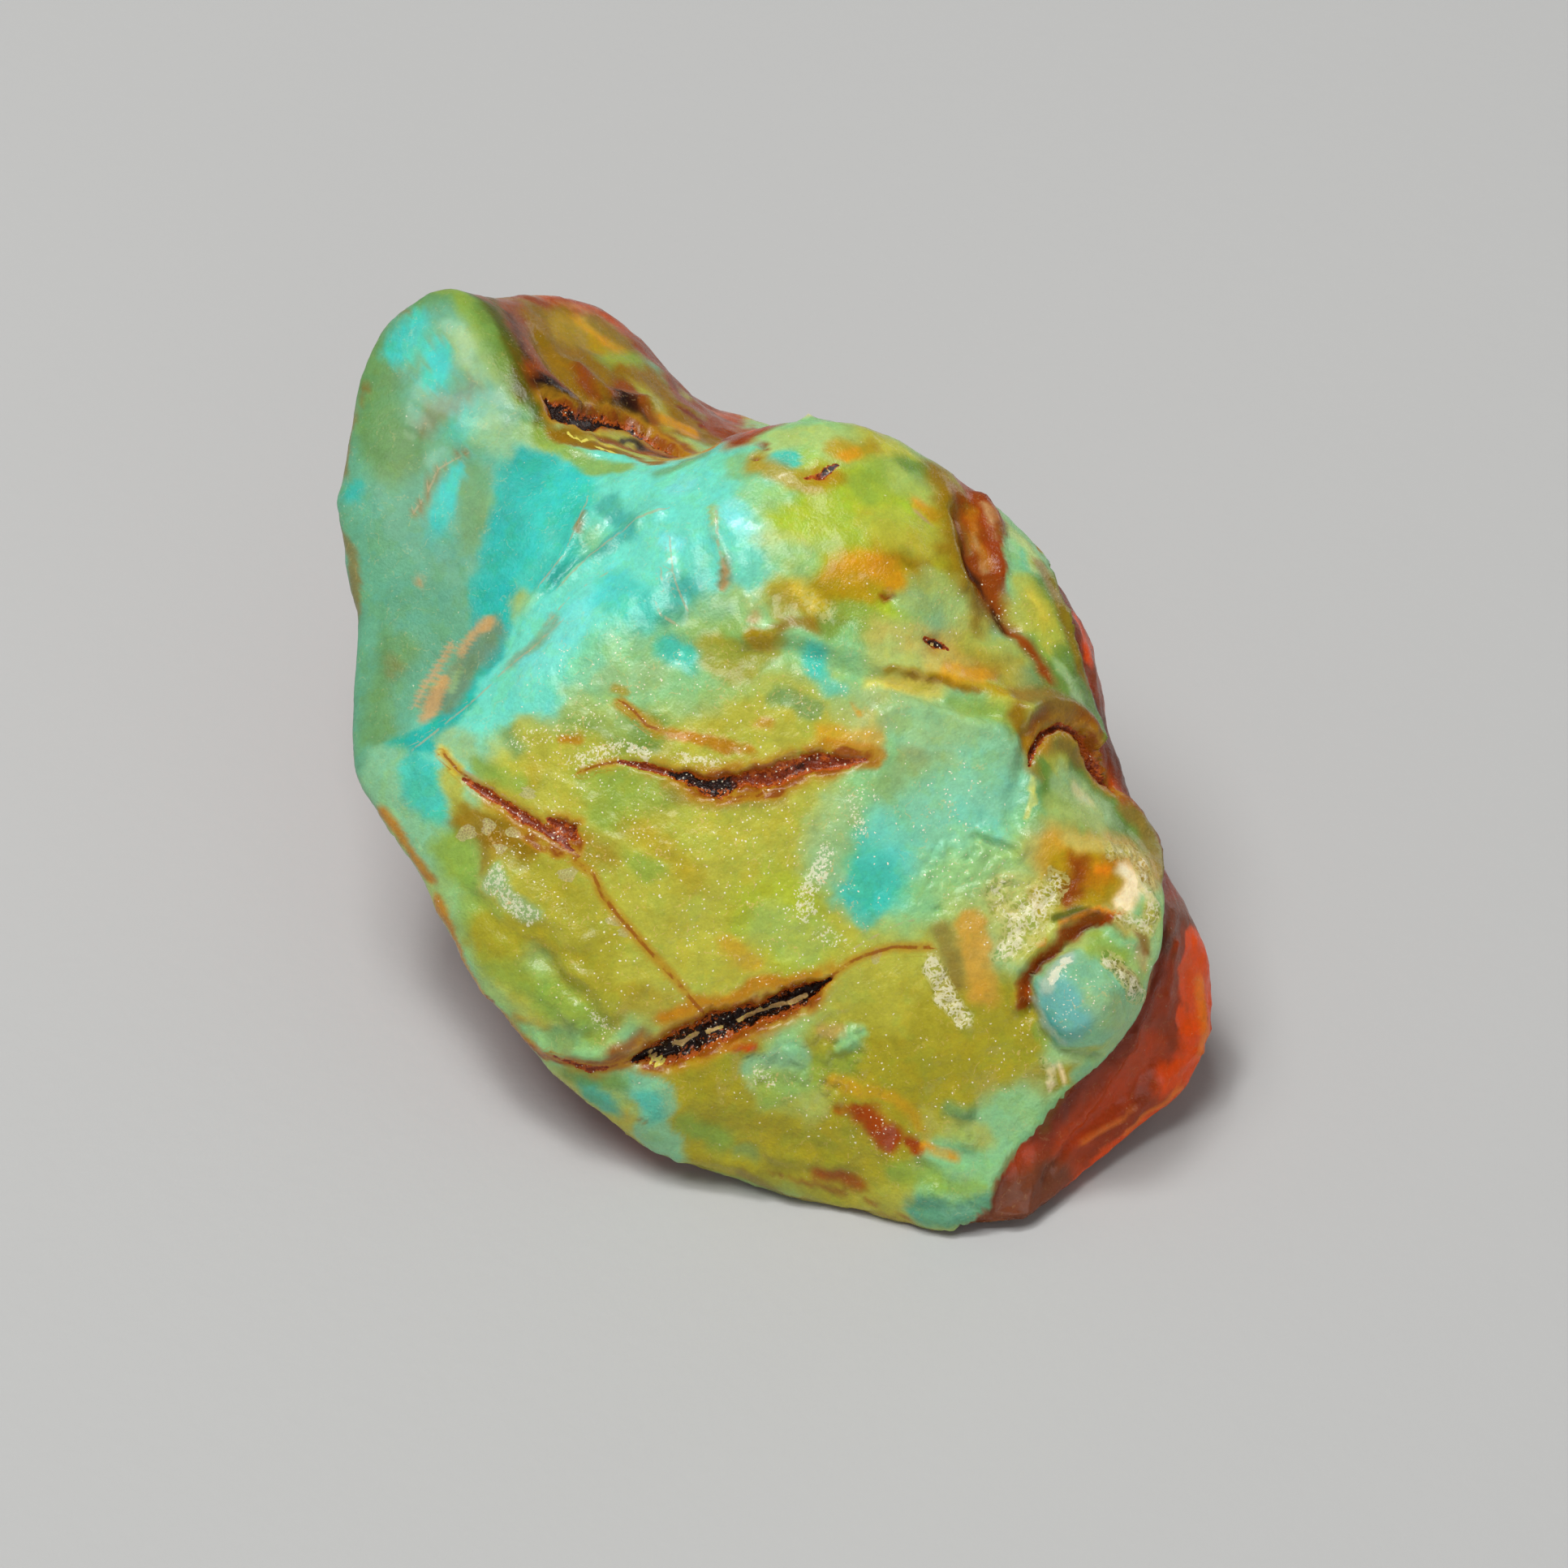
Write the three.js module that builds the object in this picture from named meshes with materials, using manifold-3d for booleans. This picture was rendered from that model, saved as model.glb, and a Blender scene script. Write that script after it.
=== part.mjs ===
// A rough nodule of blue amber: one piece of fossil resin, broken on every side.
// Millimetres, +Z up, +Y along the length. The stone stands on a small flat break at z = 0,
// and the origin lies on that plane under the middle of its bounding box.

import * as THREE from 'three';
import { mergeVertices } from 'three/addons/utils/BufferGeometryUtils.js';
import Module from 'manifold-3d';

// ---------------------------------------------------------------- driving dimensions

const FACE_TURN = 38;        // degrees from -Y towards -X that the broad front face looks
const FACE_SLOPE = 45;       // degrees that the front face leans back from upright
const TOE = [-8.4, -15, 0];          // foot of the front face, the origin of the two frames below
const CORE = [-1.5, 17, -7];         // middle of the stone: across, up the face, out of the face
const GRAIN_ALONG = [1, 1.4, 0.8];   // stretch of the mesh grid to the stone's proportions
const GRID_CELLS = 26;       // mesh cells along each of the six patches
const SOFTENING = 1.2;       // mm over which the breaks between facets are rounded by wear
const SOFTENING_RINGS = [[0.5, 0], [1, 0.5]];   // share of the softening, turn in steps
const RING_STEPS = 6;
const CUT_SIZE = 80;         // mm, side of the block taken off under the resting plane
const AMBER_COLOUR = 0x7fae86;

// Corners and ridge points of the stone. The first list is laid out on the sloping front
// face: [across, up the face, out of the face]. Corners further back have a negative last
// number.
const FACE_CORNERS = {
  lobeTip: [[-14.75, 36.75, -9], [-12.5, 36.5, -10.5], [-16.75, 35.25, -9]],
  lobeOuterEdge: [
    [-17.75, 33, -8.5], [-18.5, 28, -6.5], [-17.75, 24, -5.5], [-18, 19.5, -4], [-17.75, 17.25, -3],
  ],
  lowerLeftEdge: [
    [-15, 13.5, -2], [-12.5, 8.75, -1], [-9.75, 5.5, -1.25], [-6.75, 3.25, -1.5], [-4.5, 2.25, -1.75],
  ],
  toeEdge: [[-0.25, 0.75, -1.25], [3.5, -0.25, -0.5], [5.75, -0.75, 0.5], [8, -0.75, 0.5]],
  wedgeRim: [
    [11, 1.75, -2], [14.25, 4.25, -3], [15.75, 6.25, -3.25], [16, 8.25, -3.5], [15.5, 10.75, -3.5],
  ],
  rightEdge: [
    [13.25, 14.5, -3], [12.25, 16.75, -3.75], [11.25, 19.5, -4.5], [11, 22.5, -4.75], [9.5, 25, -4.75],
    [7.75, 26.75, -4],
  ],
  domeTop: [[5.75, 28.25, -3], [4, 29.5, -2.5], [1.5, 30.75, -2], [-2, 30.5, -2.5]],
  domeFront: [[1.5, 27.5, -0.25], [-1.5, 27.5, -0.25], [3.25, 25.25, 0.5], [0, 25.25, 0.75]],
  rearRim: [
    [-11, 37, -13.5], [-9, 36.75, -15], [-7.25, 35.5, -16], [-5.75, 33, -16],
    [-2.75, 31.5, -15.5],
  ],
  crest: [
    [-3, 26.75, 0], [-5, 25, 0.25], [-7.75, 22.5, 0.25], [-10.25, 20.5, 0], [-13.25, 18.25, -1.25],
  ],
  saddle: [
    [-11, 33.5, -8.25], [-10.25, 31.25, -7], [-9, 29.75, -5.75], [-7.25, 29, -4.5], [-4.5, 29, -3],
  ],
  trough: [[-6, 27, -1.75], [-9, 25.25, -2.75], [-12, 22.5, -3], [-15.25, 19.75, -3.25]],
  lobeFace: [[-14.25, 32.25, -7.75], [-13, 28.25, -5.5]],
  hollowFloor: [[-8.75, 31.5, -9.5], [-7, 30.25, -8.75], [-4.5, 29.25, -8]],
  hollowWall: [[-9.25, 34.25, -12], [-6.25, 32.5, -12.5], [-3.5, 30.5, -12]],
  ledge: [[-2, 23, 1], [3, 19.75, 1.25], [7, 19, 0.75], [8.25, 17, 0.75]],
  sideLobe: [[6.5, 25.5, -2], [7.5, 22.25, -1.5], [9, 24, -2.5], [9.75, 20.5, -1.25]],
  middleFace: [
    [-3, 14.75, 1.75], [-6.75, 16.25, 1.25], [1.5, 15.5, 1.75], [4.5, 13.25, 1.5],
    [-1.25, 10.5, 1.5],
  ],
  leftRidge: [[-12, 16.5, -0.25], [-8.75, 14.5, 1], [-6.25, 10.75, 1.25], [-4.25, 8.5, 1.25]],
  leftFlank: [[-11.5, 12.25, 0.25], [-8.75, 8.75, 0.75]],
  lowerFace: [[1, 9.75, 1.5], [4.25, 7, 1.75], [-1.25, 5.5, 1], [3.25, 3.25, 0.75], [-5.5, 5, 0.25]],
  nose: [[7.5, 10.5, 2], [9.75, 8.75, 2.5], [11.75, 12.5, 1]],
  rindEdge: [
    [13.25, 12.25, 0.25], [12.75, 10, 1], [11.5, 7.5, 1], [9.5, 5.5, 1.25], [7.75, 3.75, 1],
    [6.5, 1, 0.25],
  ],
  clearWedge: [[13.75, 8.75, -1.25], [11.75, 6, -1], [9.25, 3, -0.5]],
};

// The underside and the back, laid out on the ground: [across, back, height]. The sole's
// corners reach a little under the resting plane, which cuts them off flat.
const GROUND_CORNERS = {
  sole: [[2, 3, -0.3], [-5, 9, -0.3], [-6, 17, -0.3], [-1, 23, -0.3], [5, 17, -0.3], [6, 7, -0.3]],
  underside: [
    [-9, 7, 2.5], [-13, 16, 5], [-11, 19, 2.5], [-14.5, 26, 9], [-9, 27, 3.5], [0, 29, 2.5],
    [9, 21, 2.5], [11.5, 10, 1],
  ],
  backFace: [[-13, 33, 10], [-8, 35.5, 8], [-2, 33.5, 6], [4.5, 30, 8], [9.5, 24, 7.5], [2.5, 28, 13.5]],
  rightFlank: [[12.5, 14, 4.5], [14.5, 8, 2.25], [11.25, 18, 7.5]],
};

// Open cracks: a route laid out like the face corners, with the depth and half width in mm.
const CRACKS = [
  {
    route: [[-7, 17.75, 1], [-4, 16.5, 1.5], [-1, 17, 1.5], [1.5, 17.75, 1]],
    depth: 0.6,
    halfWidth: 0.7,
  },
  {
    route: [[-6.75, 6.5, 0.5], [-4.25, 7.75, 1], [-1, 8.75, 1.5], [1, 9.75, 1.5]],
    depth: 0.9,
    halfWidth: 0.8,
  },
  {
    route: [[-12.5, 17, 0], [-10.75, 15.5, 0.5], [-8.75, 14.5, 1]],
    depth: 0.5,
    halfWidth: 0.6,
  },
];

// ---------------------------------------------------------------- the two layout frames

const toRadians = THREE.MathUtils.degToRad;
const vertical = new THREE.Vector3(0, 0, 1);
const across = new THREE.Vector3(Math.cos(toRadians(FACE_TURN)), -Math.sin(toRadians(FACE_TURN)), 0);
const back = new THREE.Vector3().crossVectors(vertical, across);
const toe = new THREE.Vector3(...TOE);

const groundFrame = new THREE.Matrix4().makeBasis(across, back, vertical).setPosition(toe);
const lean = new THREE.Matrix4().makeRotationX(toRadians(90 - FACE_SLOPE));
const faceFrame = groundFrame.clone().multiply(lean);

function placed(corner, frame) {
  return new THREE.Vector3(...corner).applyMatrix4(frame);
}

const core = placed(CORE, faceFrame);
const corners = [
  ...Object.values(FACE_CORNERS).flat().map((corner) => placed(corner, faceFrame)),
  ...Object.values(GROUND_CORNERS).flat().map((corner) => placed(corner, groundFrame)),
];

// ---------------------------------------------------------------- facets between the corners

// Seen from the core every corner is a direction. The convex hull of the directions says
// which three corners share a facet: no other direction lies beyond the plane of the three.
function isHullFace(normal, level, directions) {
  const slack = 1e-9;
  return directions.every((direction) => normal.dot(direction) <= level + slack);
}

function facetsBetween(directions) {
  const facets = [];
  const count = directions.length;
  for (let i = 0; i < count; i += 1) {
    for (let j = i + 1; j < count; j += 1) {
      const side = directions[j].clone().sub(directions[i]);
      for (let k = j + 1; k < count; k += 1) {
        const normal = directions[k].clone().sub(directions[i]).cross(side);
        if (normal.dot(directions[i]) < 0) normal.negate();
        if (isHullFace(normal, normal.dot(directions[i]), directions)) facets.push([i, j, k]);
      }
    }
  }
  return facets;
}

// Each facet keeps the matrix that splits a direction into shares of its three corners.
function facetTable(points) {
  const reaches = points.map((point) => point.length());
  const directions = points.map((point) => point.clone().normalize());
  return facetsBetween(directions).map((facet) => {
    const [a, b, c] = facet.map((index) => directions[index]);
    const toShares = new THREE.Matrix3().set(a.x, b.x, c.x, a.y, b.y, c.y, a.z, b.z, c.z).invert();
    return { toShares, reaches: facet.map((index) => reaches[index]) };
  });
}

const facets = facetTable(corners.map((corner) => corner.clone().sub(core)));

// Distance from the core to the flat facet that a direction meets.
function facetReach(direction) {
  const shares = new THREE.Vector3();
  let inside = -Infinity;
  let reach = 0;
  for (const facet of facets) {
    shares.copy(direction).applyMatrix3(facet.toShares);
    const least = Math.min(shares.x, shares.y, shares.z);
    if (least > inside) {
      const [a, b, c] = facet.reaches;
      inside = least;
      reach = 1 / (shares.x / a + shares.y / b + shares.z / c);
    }
  }
  return reach;
}

// The facet reach averaged over two small rings of directions, which rounds the edges.
function softReach(direction) {
  const middle = facetReach(direction);
  const pole = Math.abs(direction.z) < 0.9 ? vertical : new THREE.Vector3(1, 0, 0);
  const sideways = new THREE.Vector3().crossVectors(pole, direction).normalize();
  const upwards = new THREE.Vector3().crossVectors(direction, sideways);
  let total = middle;
  for (const [share, turn] of SOFTENING_RINGS) {
    const spread = (SOFTENING * share) / middle;
    for (let step = 0; step < RING_STEPS; step += 1) {
      const angle = (2 * Math.PI * (step + turn)) / RING_STEPS;
      const sample = direction.clone();
      sample.addScaledVector(sideways, spread * Math.cos(angle));
      sample.addScaledVector(upwards, spread * Math.sin(angle));
      total += facetReach(sample.normalize());
    }
  }
  return total / (1 + SOFTENING_RINGS.length * RING_STEPS);
}

function surfacePoint(direction) {
  return core.clone().addScaledVector(direction, softReach(direction));
}

// ---------------------------------------------------------------- relief on the facets

const cracks = CRACKS.map((crack) => ({
  ...crack,
  points: crack.route.map((corner) => surfacePoint(placed(corner, faceFrame).sub(core).normalize())),
}));

function distanceToRoute(point, route) {
  const nearest = new THREE.Vector3();
  let distance = Infinity;
  for (let i = 1; i < route.length; i += 1) {
    new THREE.Line3(route[i - 1], route[i]).closestPointToPoint(point, true, nearest);
    distance = Math.min(distance, nearest.distanceTo(point));
  }
  return distance;
}

// Height of the surface over its facets: every crack is a groove with a rounded section.
function relief(point) {
  let height = 0;
  for (const crack of cracks) {
    const away = distanceToRoute(point, crack.points) / crack.halfWidth;
    height -= crack.depth * Math.exp(-away * away);
  }
  return height;
}

// ---------------------------------------------------------------- mesh of the whole stone

// A box's six grids are bent to equal angles and blown up to the stone's surface.
function stoneGeometry() {
  const box = new THREE.BoxGeometry(2, 2, 2, GRID_CELLS, GRID_CELLS, GRID_CELLS);
  box.deleteAttribute('normal');
  box.deleteAttribute('uv');
  const geometry = mergeVertices(box);
  const position = geometry.attributes.position;
  const direction = new THREE.Vector3();
  for (let i = 0; i < position.count; i += 1) {
    direction.fromBufferAttribute(position, i);
    direction.set(...direction.toArray().map((value) => Math.tan((value * Math.PI) / 4)));
    direction.multiply(new THREE.Vector3(...GRAIN_ALONG)).normalize();
    const point = surfacePoint(direction);
    point.addScaledVector(direction, relief(point));
    position.setXYZ(i, point.x, point.y, point.z);
  }
  return geometry;
}

function toSolid(wasm, geometry) {
  const mesh = new wasm.Mesh({
    numProp: 3,
    vertProperties: new Float32Array(geometry.attributes.position.array),
    triVerts: new Uint32Array(geometry.index.array),
  });
  return new wasm.Manifold(mesh);
}

function toGeometry(solid) {
  const mesh = solid.getMesh();
  const geometry = new THREE.BufferGeometry();
  geometry.setAttribute('position', new THREE.BufferAttribute(mesh.vertProperties, 3));
  geometry.setIndex(new THREE.BufferAttribute(mesh.triVerts, 1));
  geometry.computeVertexNormals();
  return geometry;
}

// The block under the resting plane, as a closed mesh with shared corners.
function groundBlock() {
  const box = new THREE.BoxGeometry(CUT_SIZE, CUT_SIZE, CUT_SIZE);
  box.deleteAttribute('normal');
  box.deleteAttribute('uv');
  box.translate(0, 0, -CUT_SIZE / 2);
  return mergeVertices(box);
}

const wasm = await Module();
wasm.setup();
const standing = toSolid(wasm, stoneGeometry()).subtract(toSolid(wasm, groundBlock()));

const amber = new THREE.MeshStandardMaterial({ color: AMBER_COLOUR, roughness: 0.3, metalness: 0 });
const nodule = new THREE.Mesh(toGeometry(standing), amber);
nodule.name = 'amber_nodule';

const part = new THREE.Group();
part.add(nodule);

export default part;
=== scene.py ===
import math
from itertools import combinations, product

import bpy
import numpy as np
from bpy.props import FloatProperty, FloatVectorProperty, IntProperty, PointerProperty
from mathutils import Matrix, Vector


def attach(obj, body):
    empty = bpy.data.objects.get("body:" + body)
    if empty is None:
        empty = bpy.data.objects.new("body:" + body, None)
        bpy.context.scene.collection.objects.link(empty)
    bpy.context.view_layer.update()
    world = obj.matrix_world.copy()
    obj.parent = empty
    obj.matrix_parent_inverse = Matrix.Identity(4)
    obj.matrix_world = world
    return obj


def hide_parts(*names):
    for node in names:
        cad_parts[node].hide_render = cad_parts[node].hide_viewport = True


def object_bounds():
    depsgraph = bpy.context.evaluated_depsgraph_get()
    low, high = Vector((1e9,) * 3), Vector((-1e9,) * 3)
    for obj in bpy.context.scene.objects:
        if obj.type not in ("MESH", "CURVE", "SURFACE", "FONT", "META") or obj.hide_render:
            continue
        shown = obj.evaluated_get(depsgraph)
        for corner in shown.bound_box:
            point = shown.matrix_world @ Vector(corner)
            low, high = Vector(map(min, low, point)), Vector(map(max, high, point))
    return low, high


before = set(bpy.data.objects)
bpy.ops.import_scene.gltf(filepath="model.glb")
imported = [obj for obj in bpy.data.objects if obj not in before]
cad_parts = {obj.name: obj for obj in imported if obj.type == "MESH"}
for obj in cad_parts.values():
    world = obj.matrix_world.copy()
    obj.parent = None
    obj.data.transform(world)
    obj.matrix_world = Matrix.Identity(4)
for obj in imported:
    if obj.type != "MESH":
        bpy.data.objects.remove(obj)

CAD_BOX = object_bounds()

bl_info = {
    "name": "Rough Blue Amber",
    "version": (1, 0, 0),
    "blender": (4, 5, 0),
    "location": "View3D > Sidebar > Amber",
    "description": "Builds a rough blue amber nodule with its rind, cracks and clear wedge, and its stage",
    "category": "Object",
}

# The stone is one lump of fossil resin with a thin opaque rind on its front and clear red
# amber at its broken right edge, back and underside. Lengths are millimetres until a mesh is
# made.

MM = 0.001                 # metres in a millimetre

# ------------------------------------------------------------------ layout frames

FACE_TURN = math.radians(38)         # the broad front face looks this far from -Y towards -X
FACE_SLOPE = math.radians(45)        # and leans back this far from upright
TOE = np.array([-8.4, -15.0, 0.0])   # foot of the front face
VERTICAL = np.array([0.0, 0.0, 1.0])
ACROSS = np.array([math.cos(FACE_TURN), -math.sin(FACE_TURN), 0.0])
BACK = np.cross(VERTICAL, ACROSS)
UP = math.cos(FACE_SLOPE) * BACK + math.sin(FACE_SLOPE) * VERTICAL
OUT = np.cross(ACROSS, UP)
FACE_AXES = np.array([ACROSS, UP, OUT])
GROUND_AXES = np.array([ACROSS, BACK, VERTICAL])

CORE = TOE + np.array([-1.5, 17, -7]) @ FACE_AXES    # middle of the stone
GRID_STRETCH = np.array([1, 1.4, 0.8])  # stretch of the mesh grid to the stone's proportions
FRONT_SHARE = 0.25                      # how much closer the grid lines lie on the front
EYE_FOOT = np.array([-1.02, 16.92])     # place on the front face that the eye looks at
EYE_DISTANCE = 270.0                    # mm from the eye to the plane of the front face
VIEW_WIDTH = 57.96                      # mm of the front face's plane that the view takes in

# Corners and ridge points on the front face: across, up the face, out of the face.
FACE_CORNERS = {
    "lobe tip": ((-14.75, 36.75, -9), (-12.5, 36.5, -10.5), (-16.75, 35.25, -9)),
    "lobe outer edge": (
        (-17.75, 33, -8.5), (-18.5, 28, -6.5), (-17.75, 24, -5.5), (-18, 19.5, -4), (-17.75, 17.25, -3)),
    "lower left edge": (
        (-15, 13.5, -2), (-12.5, 8.75, -1), (-9.75, 5.5, -1.25), (-6.75, 3.25, -1.5), (-4.5, 2.25, -1.75)),
    "toe edge": ((-0.25, 0.75, -1.25), (3.5, -0.25, -0.5), (5.75, -0.75, 0.5), (8, -0.75, 0.5)),
    "wedge rim": (
        (11, 1.75, -2), (14.25, 4.25, -3), (15.75, 6.25, -3.25), (16, 8.25, -3.5), (15.5, 10.75, -3.5)),
    "right edge": (
        (13.25, 14.5, -3), (12.25, 16.75, -3.75), (11.25, 19.5, -4.5), (11, 22.5, -4.75),
        (9.5, 25, -4.75), (7.75, 26.75, -4)),
    "dome top": ((5.75, 28.25, -3), (4, 29.5, -2.5), (1.5, 30.75, -2), (-2, 30.5, -2.5)),
    "dome front": ((1.5, 27.5, -0.25), (-1.5, 27.5, -0.25), (3.25, 25.25, 0.5), (0, 25.25, 0.75)),
    "rear rim": (
        (-11, 37, -13.5), (-9, 36.75, -15), (-7.25, 35.5, -16), (-5.75, 33, -16), (-2.75, 31.5, -15.5)),
    "crest": (
        (-3, 26.75, 0), (-5, 25, 0.25), (-7.75, 22.5, 0.25), (-10.25, 20.5, 0), (-13.25, 18.25, -1.25)),
    "saddle": (
        (-11, 33.5, -8.25), (-10.25, 31.25, -7), (-9, 29.75, -5.75), (-7.25, 29, -4.5), (-4.5, 29, -3)),
    "trough": ((-6, 27, -1.75), (-9, 25.25, -2.75), (-12, 22.5, -3), (-15.25, 19.75, -3.25)),
    "lobe face": ((-14.25, 32.25, -7.75), (-13, 28.25, -5.5)),
    "hollow floor": ((-8.75, 31.5, -9.5), (-7, 30.25, -8.75), (-4.5, 29.25, -8)),
    "hollow wall": ((-9.25, 34.25, -12), (-6.25, 32.5, -12.5), (-3.5, 30.5, -12)),
    "ledge": ((-2, 23, 1), (3, 19.75, 1.25), (7, 19, 0.75), (8.25, 17, 0.75)),
    "side lobe": ((6.5, 25.5, -2), (7.5, 22.25, -1.5), (9, 24, -2.5), (9.75, 20.5, -1.25)),
    "middle face": (
        (-3, 14.75, 1.75), (-6.75, 16.25, 1.25), (1.5, 15.5, 1.75), (4.5, 13.25, 1.5), (-1.25, 10.5, 1.5)),
    "left ridge": ((-12, 16.5, -0.25), (-8.75, 14.5, 1), (-6.25, 10.75, 1.25), (-4.25, 8.5, 1.25)),
    "left flank": ((-11.5, 12.25, 0.25), (-8.75, 8.75, 0.75)),
    "lower face": ((1, 9.75, 1.5), (4.25, 7, 1.75), (-1.25, 5.5, 1), (3.25, 3.25, 0.75), (-5.5, 5, 0.25)),
    "nose": ((7.5, 10.5, 2), (9.75, 8.75, 2.5), (11.75, 12.5, 1)),
    "rind edge": (
        (13.25, 12.25, 0.25), (12.75, 10, 1), (11.5, 7.5, 1), (9.5, 5.5, 1.25), (7.75, 3.75, 1),
        (6.5, 1, 0.25)),
    "clear wedge": ((13.75, 8.75, -1.25), (11.75, 6, -1), (9.25, 3, -0.5)),
}

# Corners of the underside and the back: across, back, height.
GROUND_CORNERS = {
    "sole": ((2, 3, -0.3), (-5, 9, -0.3), (-6, 17, -0.3), (-1, 23, -0.3), (5, 17, -0.3), (6, 7, -0.3)),
    "underside": (
        (-9, 7, 2.5), (-13, 16, 5), (-11, 19, 2.5), (-14.5, 26, 9), (-9, 27, 3.5), (0, 29, 2.5),
        (9, 21, 2.5), (11.5, 10, 1)),
    "back face": (
        (-13, 33, 10), (-8, 35.5, 8), (-2, 33.5, 6), (4.5, 30, 8), (9.5, 24, 7.5), (2.5, 28, 13.5)),
    "right flank": ((12.5, 14, 4.5), (14.5, 8, 2.25), (11.25, 18, 7.5)),
}

# ------------------------------------------------------------------ marks on the front face

# A mark's route is laid out as the eye sees the front face: across and up, in mm.

# Open cracks: depth, then the route with its half width at each point.
CRACKS = {
    "central": (0.38, (
        (-7.2, 17.75, 0.06), (-6.5, 17.6, 0.14), (-5.5, 17.4, 0.16), (-4.7, 17.15, 0.24), (-4, 16.95, 0.36),
        (-3.3, 16.95, 0.36), (-2.4, 17.1, 0.3), (-1.6, 17.15, 0.38), (-0.8, 17.4, 0.38), (0, 17.75, 0.32),
        (0.8, 17.7, 0.28), (1.6, 17.7, 0.14), (2, 17.8, 0.07))),
    "lower": (0.8, (
        (-6.7, 6.7, 0.16), (-6, 6.8, 0.36), (-5.2, 7.05, 0.52), (-4.4, 7.45, 0.58), (-3.5, 7.9, 0.54),
        (-2.6, 8.2, 0.46), (-1.7, 8.5, 0.44), (-0.8, 8.85, 0.42), (0, 9.25, 0.28), (0.7, 9.75, 0.1))),
    "lower tail": (0.25, ((-9.4, 6.85, 0.08), (-8.8, 6.55, 0.14), (-8.2, 6.35, 0.16), (-7.6, 6.35, 0.1))),
    "left": (0.32, (
        (-12.9, 17.1, 0.1), (-12.4, 16.8, 0.17), (-11.8, 16.4, 0.2), (-11.1, 16, 0.2), (-10.4, 15.55, 0.2),
        (-9.8, 15.2, 0.2), (-9.2, 14.85, 0.16), (-8.9, 14.5, 0.08))),
    "left branch": (
        0.4, ((-9.7, 15.65, 0.12), (-9.35, 15.4, 0.26), (-9, 15.15, 0.28), (-8.7, 14.95, 0.14))),
    "crescent": (0.7, (
        (8.1, 17.6, 0.08), (8.25, 18.2, 0.16), (8.6, 18.75, 0.17), (9.1, 19.05, 0.15), (9.6, 19, 0.18),
        (10, 18.6, 0.24), (10.3, 18, 0.32), (10.7, 17.4, 0.3), (11.2, 16.8, 0.2))),
    "dome pit": (0.4, ((-0.15, 28.3, 0.08), (0.3, 28.45, 0.2), (0.6, 28.6, 0.17), (0.95, 28.7, 0.06))),
    "ledge pit": (0.35, ((4.2, 22.25, 0.1), (4.5, 22.1, 0.18), (4.75, 22, 0.16), (5.05, 21.95, 0.06))),
    "hollow": (0.6, (
        (-9.75, 31.3, 0.2), (-9.3, 30.9, 0.55), (-8.5, 30.6, 0.65), (-7.6, 30.5, 0.6), (-6.8, 30.3, 0.55),
        (-6.1, 29.8, 0.4), (-5.3, 29.4, 0.3), (-4.8, 29.15, 0.2))),
}

# Thin rusty seams: half width, then the route.
RUST_SEAMS = (
    (0.07, (-8.9, 14.5), (-8.7, 14.05), (-8.1, 13.55), (-7.75, 12.8), (-7.1, 12.05), (-6.35, 11.1),
     (-5.6, 10.3), (-5, 9.75), (-4.5, 9.1), (-4, 8.5)),
    (0.05, (-9.6, 15), (-9, 14.4), (-8.6, 14.2)),
    (0.06, (0.5, 9.5), (0.9, 9.95), (1.4, 10.3), (1.9, 10.55), (3, 10.9), (4.3, 10.9)),
    (0.05, (-6.9, 6.7), (-7.6, 6.4), (-8.6, 6.45), (-9.6, 6.9)),
    (0.05, (-7, 19.9), (-6.5, 19.6), (-6.1, 19.1), (-5.5, 18.9)),
    (0.05, (-8.6, 17.4), (-8, 17.6), (-7.2, 17.8)),
    (0.05, (-1.3, 17.1), (-2, 16.5), (-3.2, 16.4)),
    (0.05, (-13.6, 18), (-13.1, 17.4), (-12.4, 16.9), (-11.6, 16.5)),
)

# Thin gilded seams.
PALE_SEAMS = (
    (0.04, (1.6, 10.9), (2.4, 11.35), (3.2, 11.75), (3.8, 11.9)),
    (0.045, (-8.2, 27.4), (-8.5, 26.5), (-9.1, 25.3), (-9.9, 24.3)),
    (0.05, (-5.4, 27), (-6.3, 26.6), (-7.1, 26), (-8.1, 25.2), (-9.2, 24.2)),
    (0.045, (-7.6, 24.7), (-8.8, 23.9), (-9.6, 23)),
    (0.05, (-9.2, 22.9), (-10.3, 22), (-11.4, 21.1), (-12.4, 20.1), (-13.6, 19), (-14.8, 18.1)),
    (0.045, (-12.9, 29.1), (-13.7, 28.5), (-14.2, 27.8), (-14.6, 27)),
    (0.045, (-13.4, 22.1), (-13.9, 21.3), (-14.3, 20.6), (-14.7, 19.8)),
    (0.04, (-5.2, 26), (-5.15, 24.8), (-4.9, 24), (-4.55, 23.3)),
    (0.04, (-5.6, 24.9), (-5.5, 24.2)),
    (0.06, (-5.7, 23.5), (-5.5, 23.15), (-5.15, 22.9)),
    (0.06, (-3.45, 26.8), (-3.45, 25.9), (-3.3, 24.9)),
    (0.04, (8.35, 18.3), (8.6, 18.65), (9.2, 18.85), (9.7, 18.8)),
    # partly a painted sparkle highlight along the left crack
    (0.04, (-13.2, 17.6), (-12.6, 17.2), (-11.9, 16.8), (-11, 16.3)),
)
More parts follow.
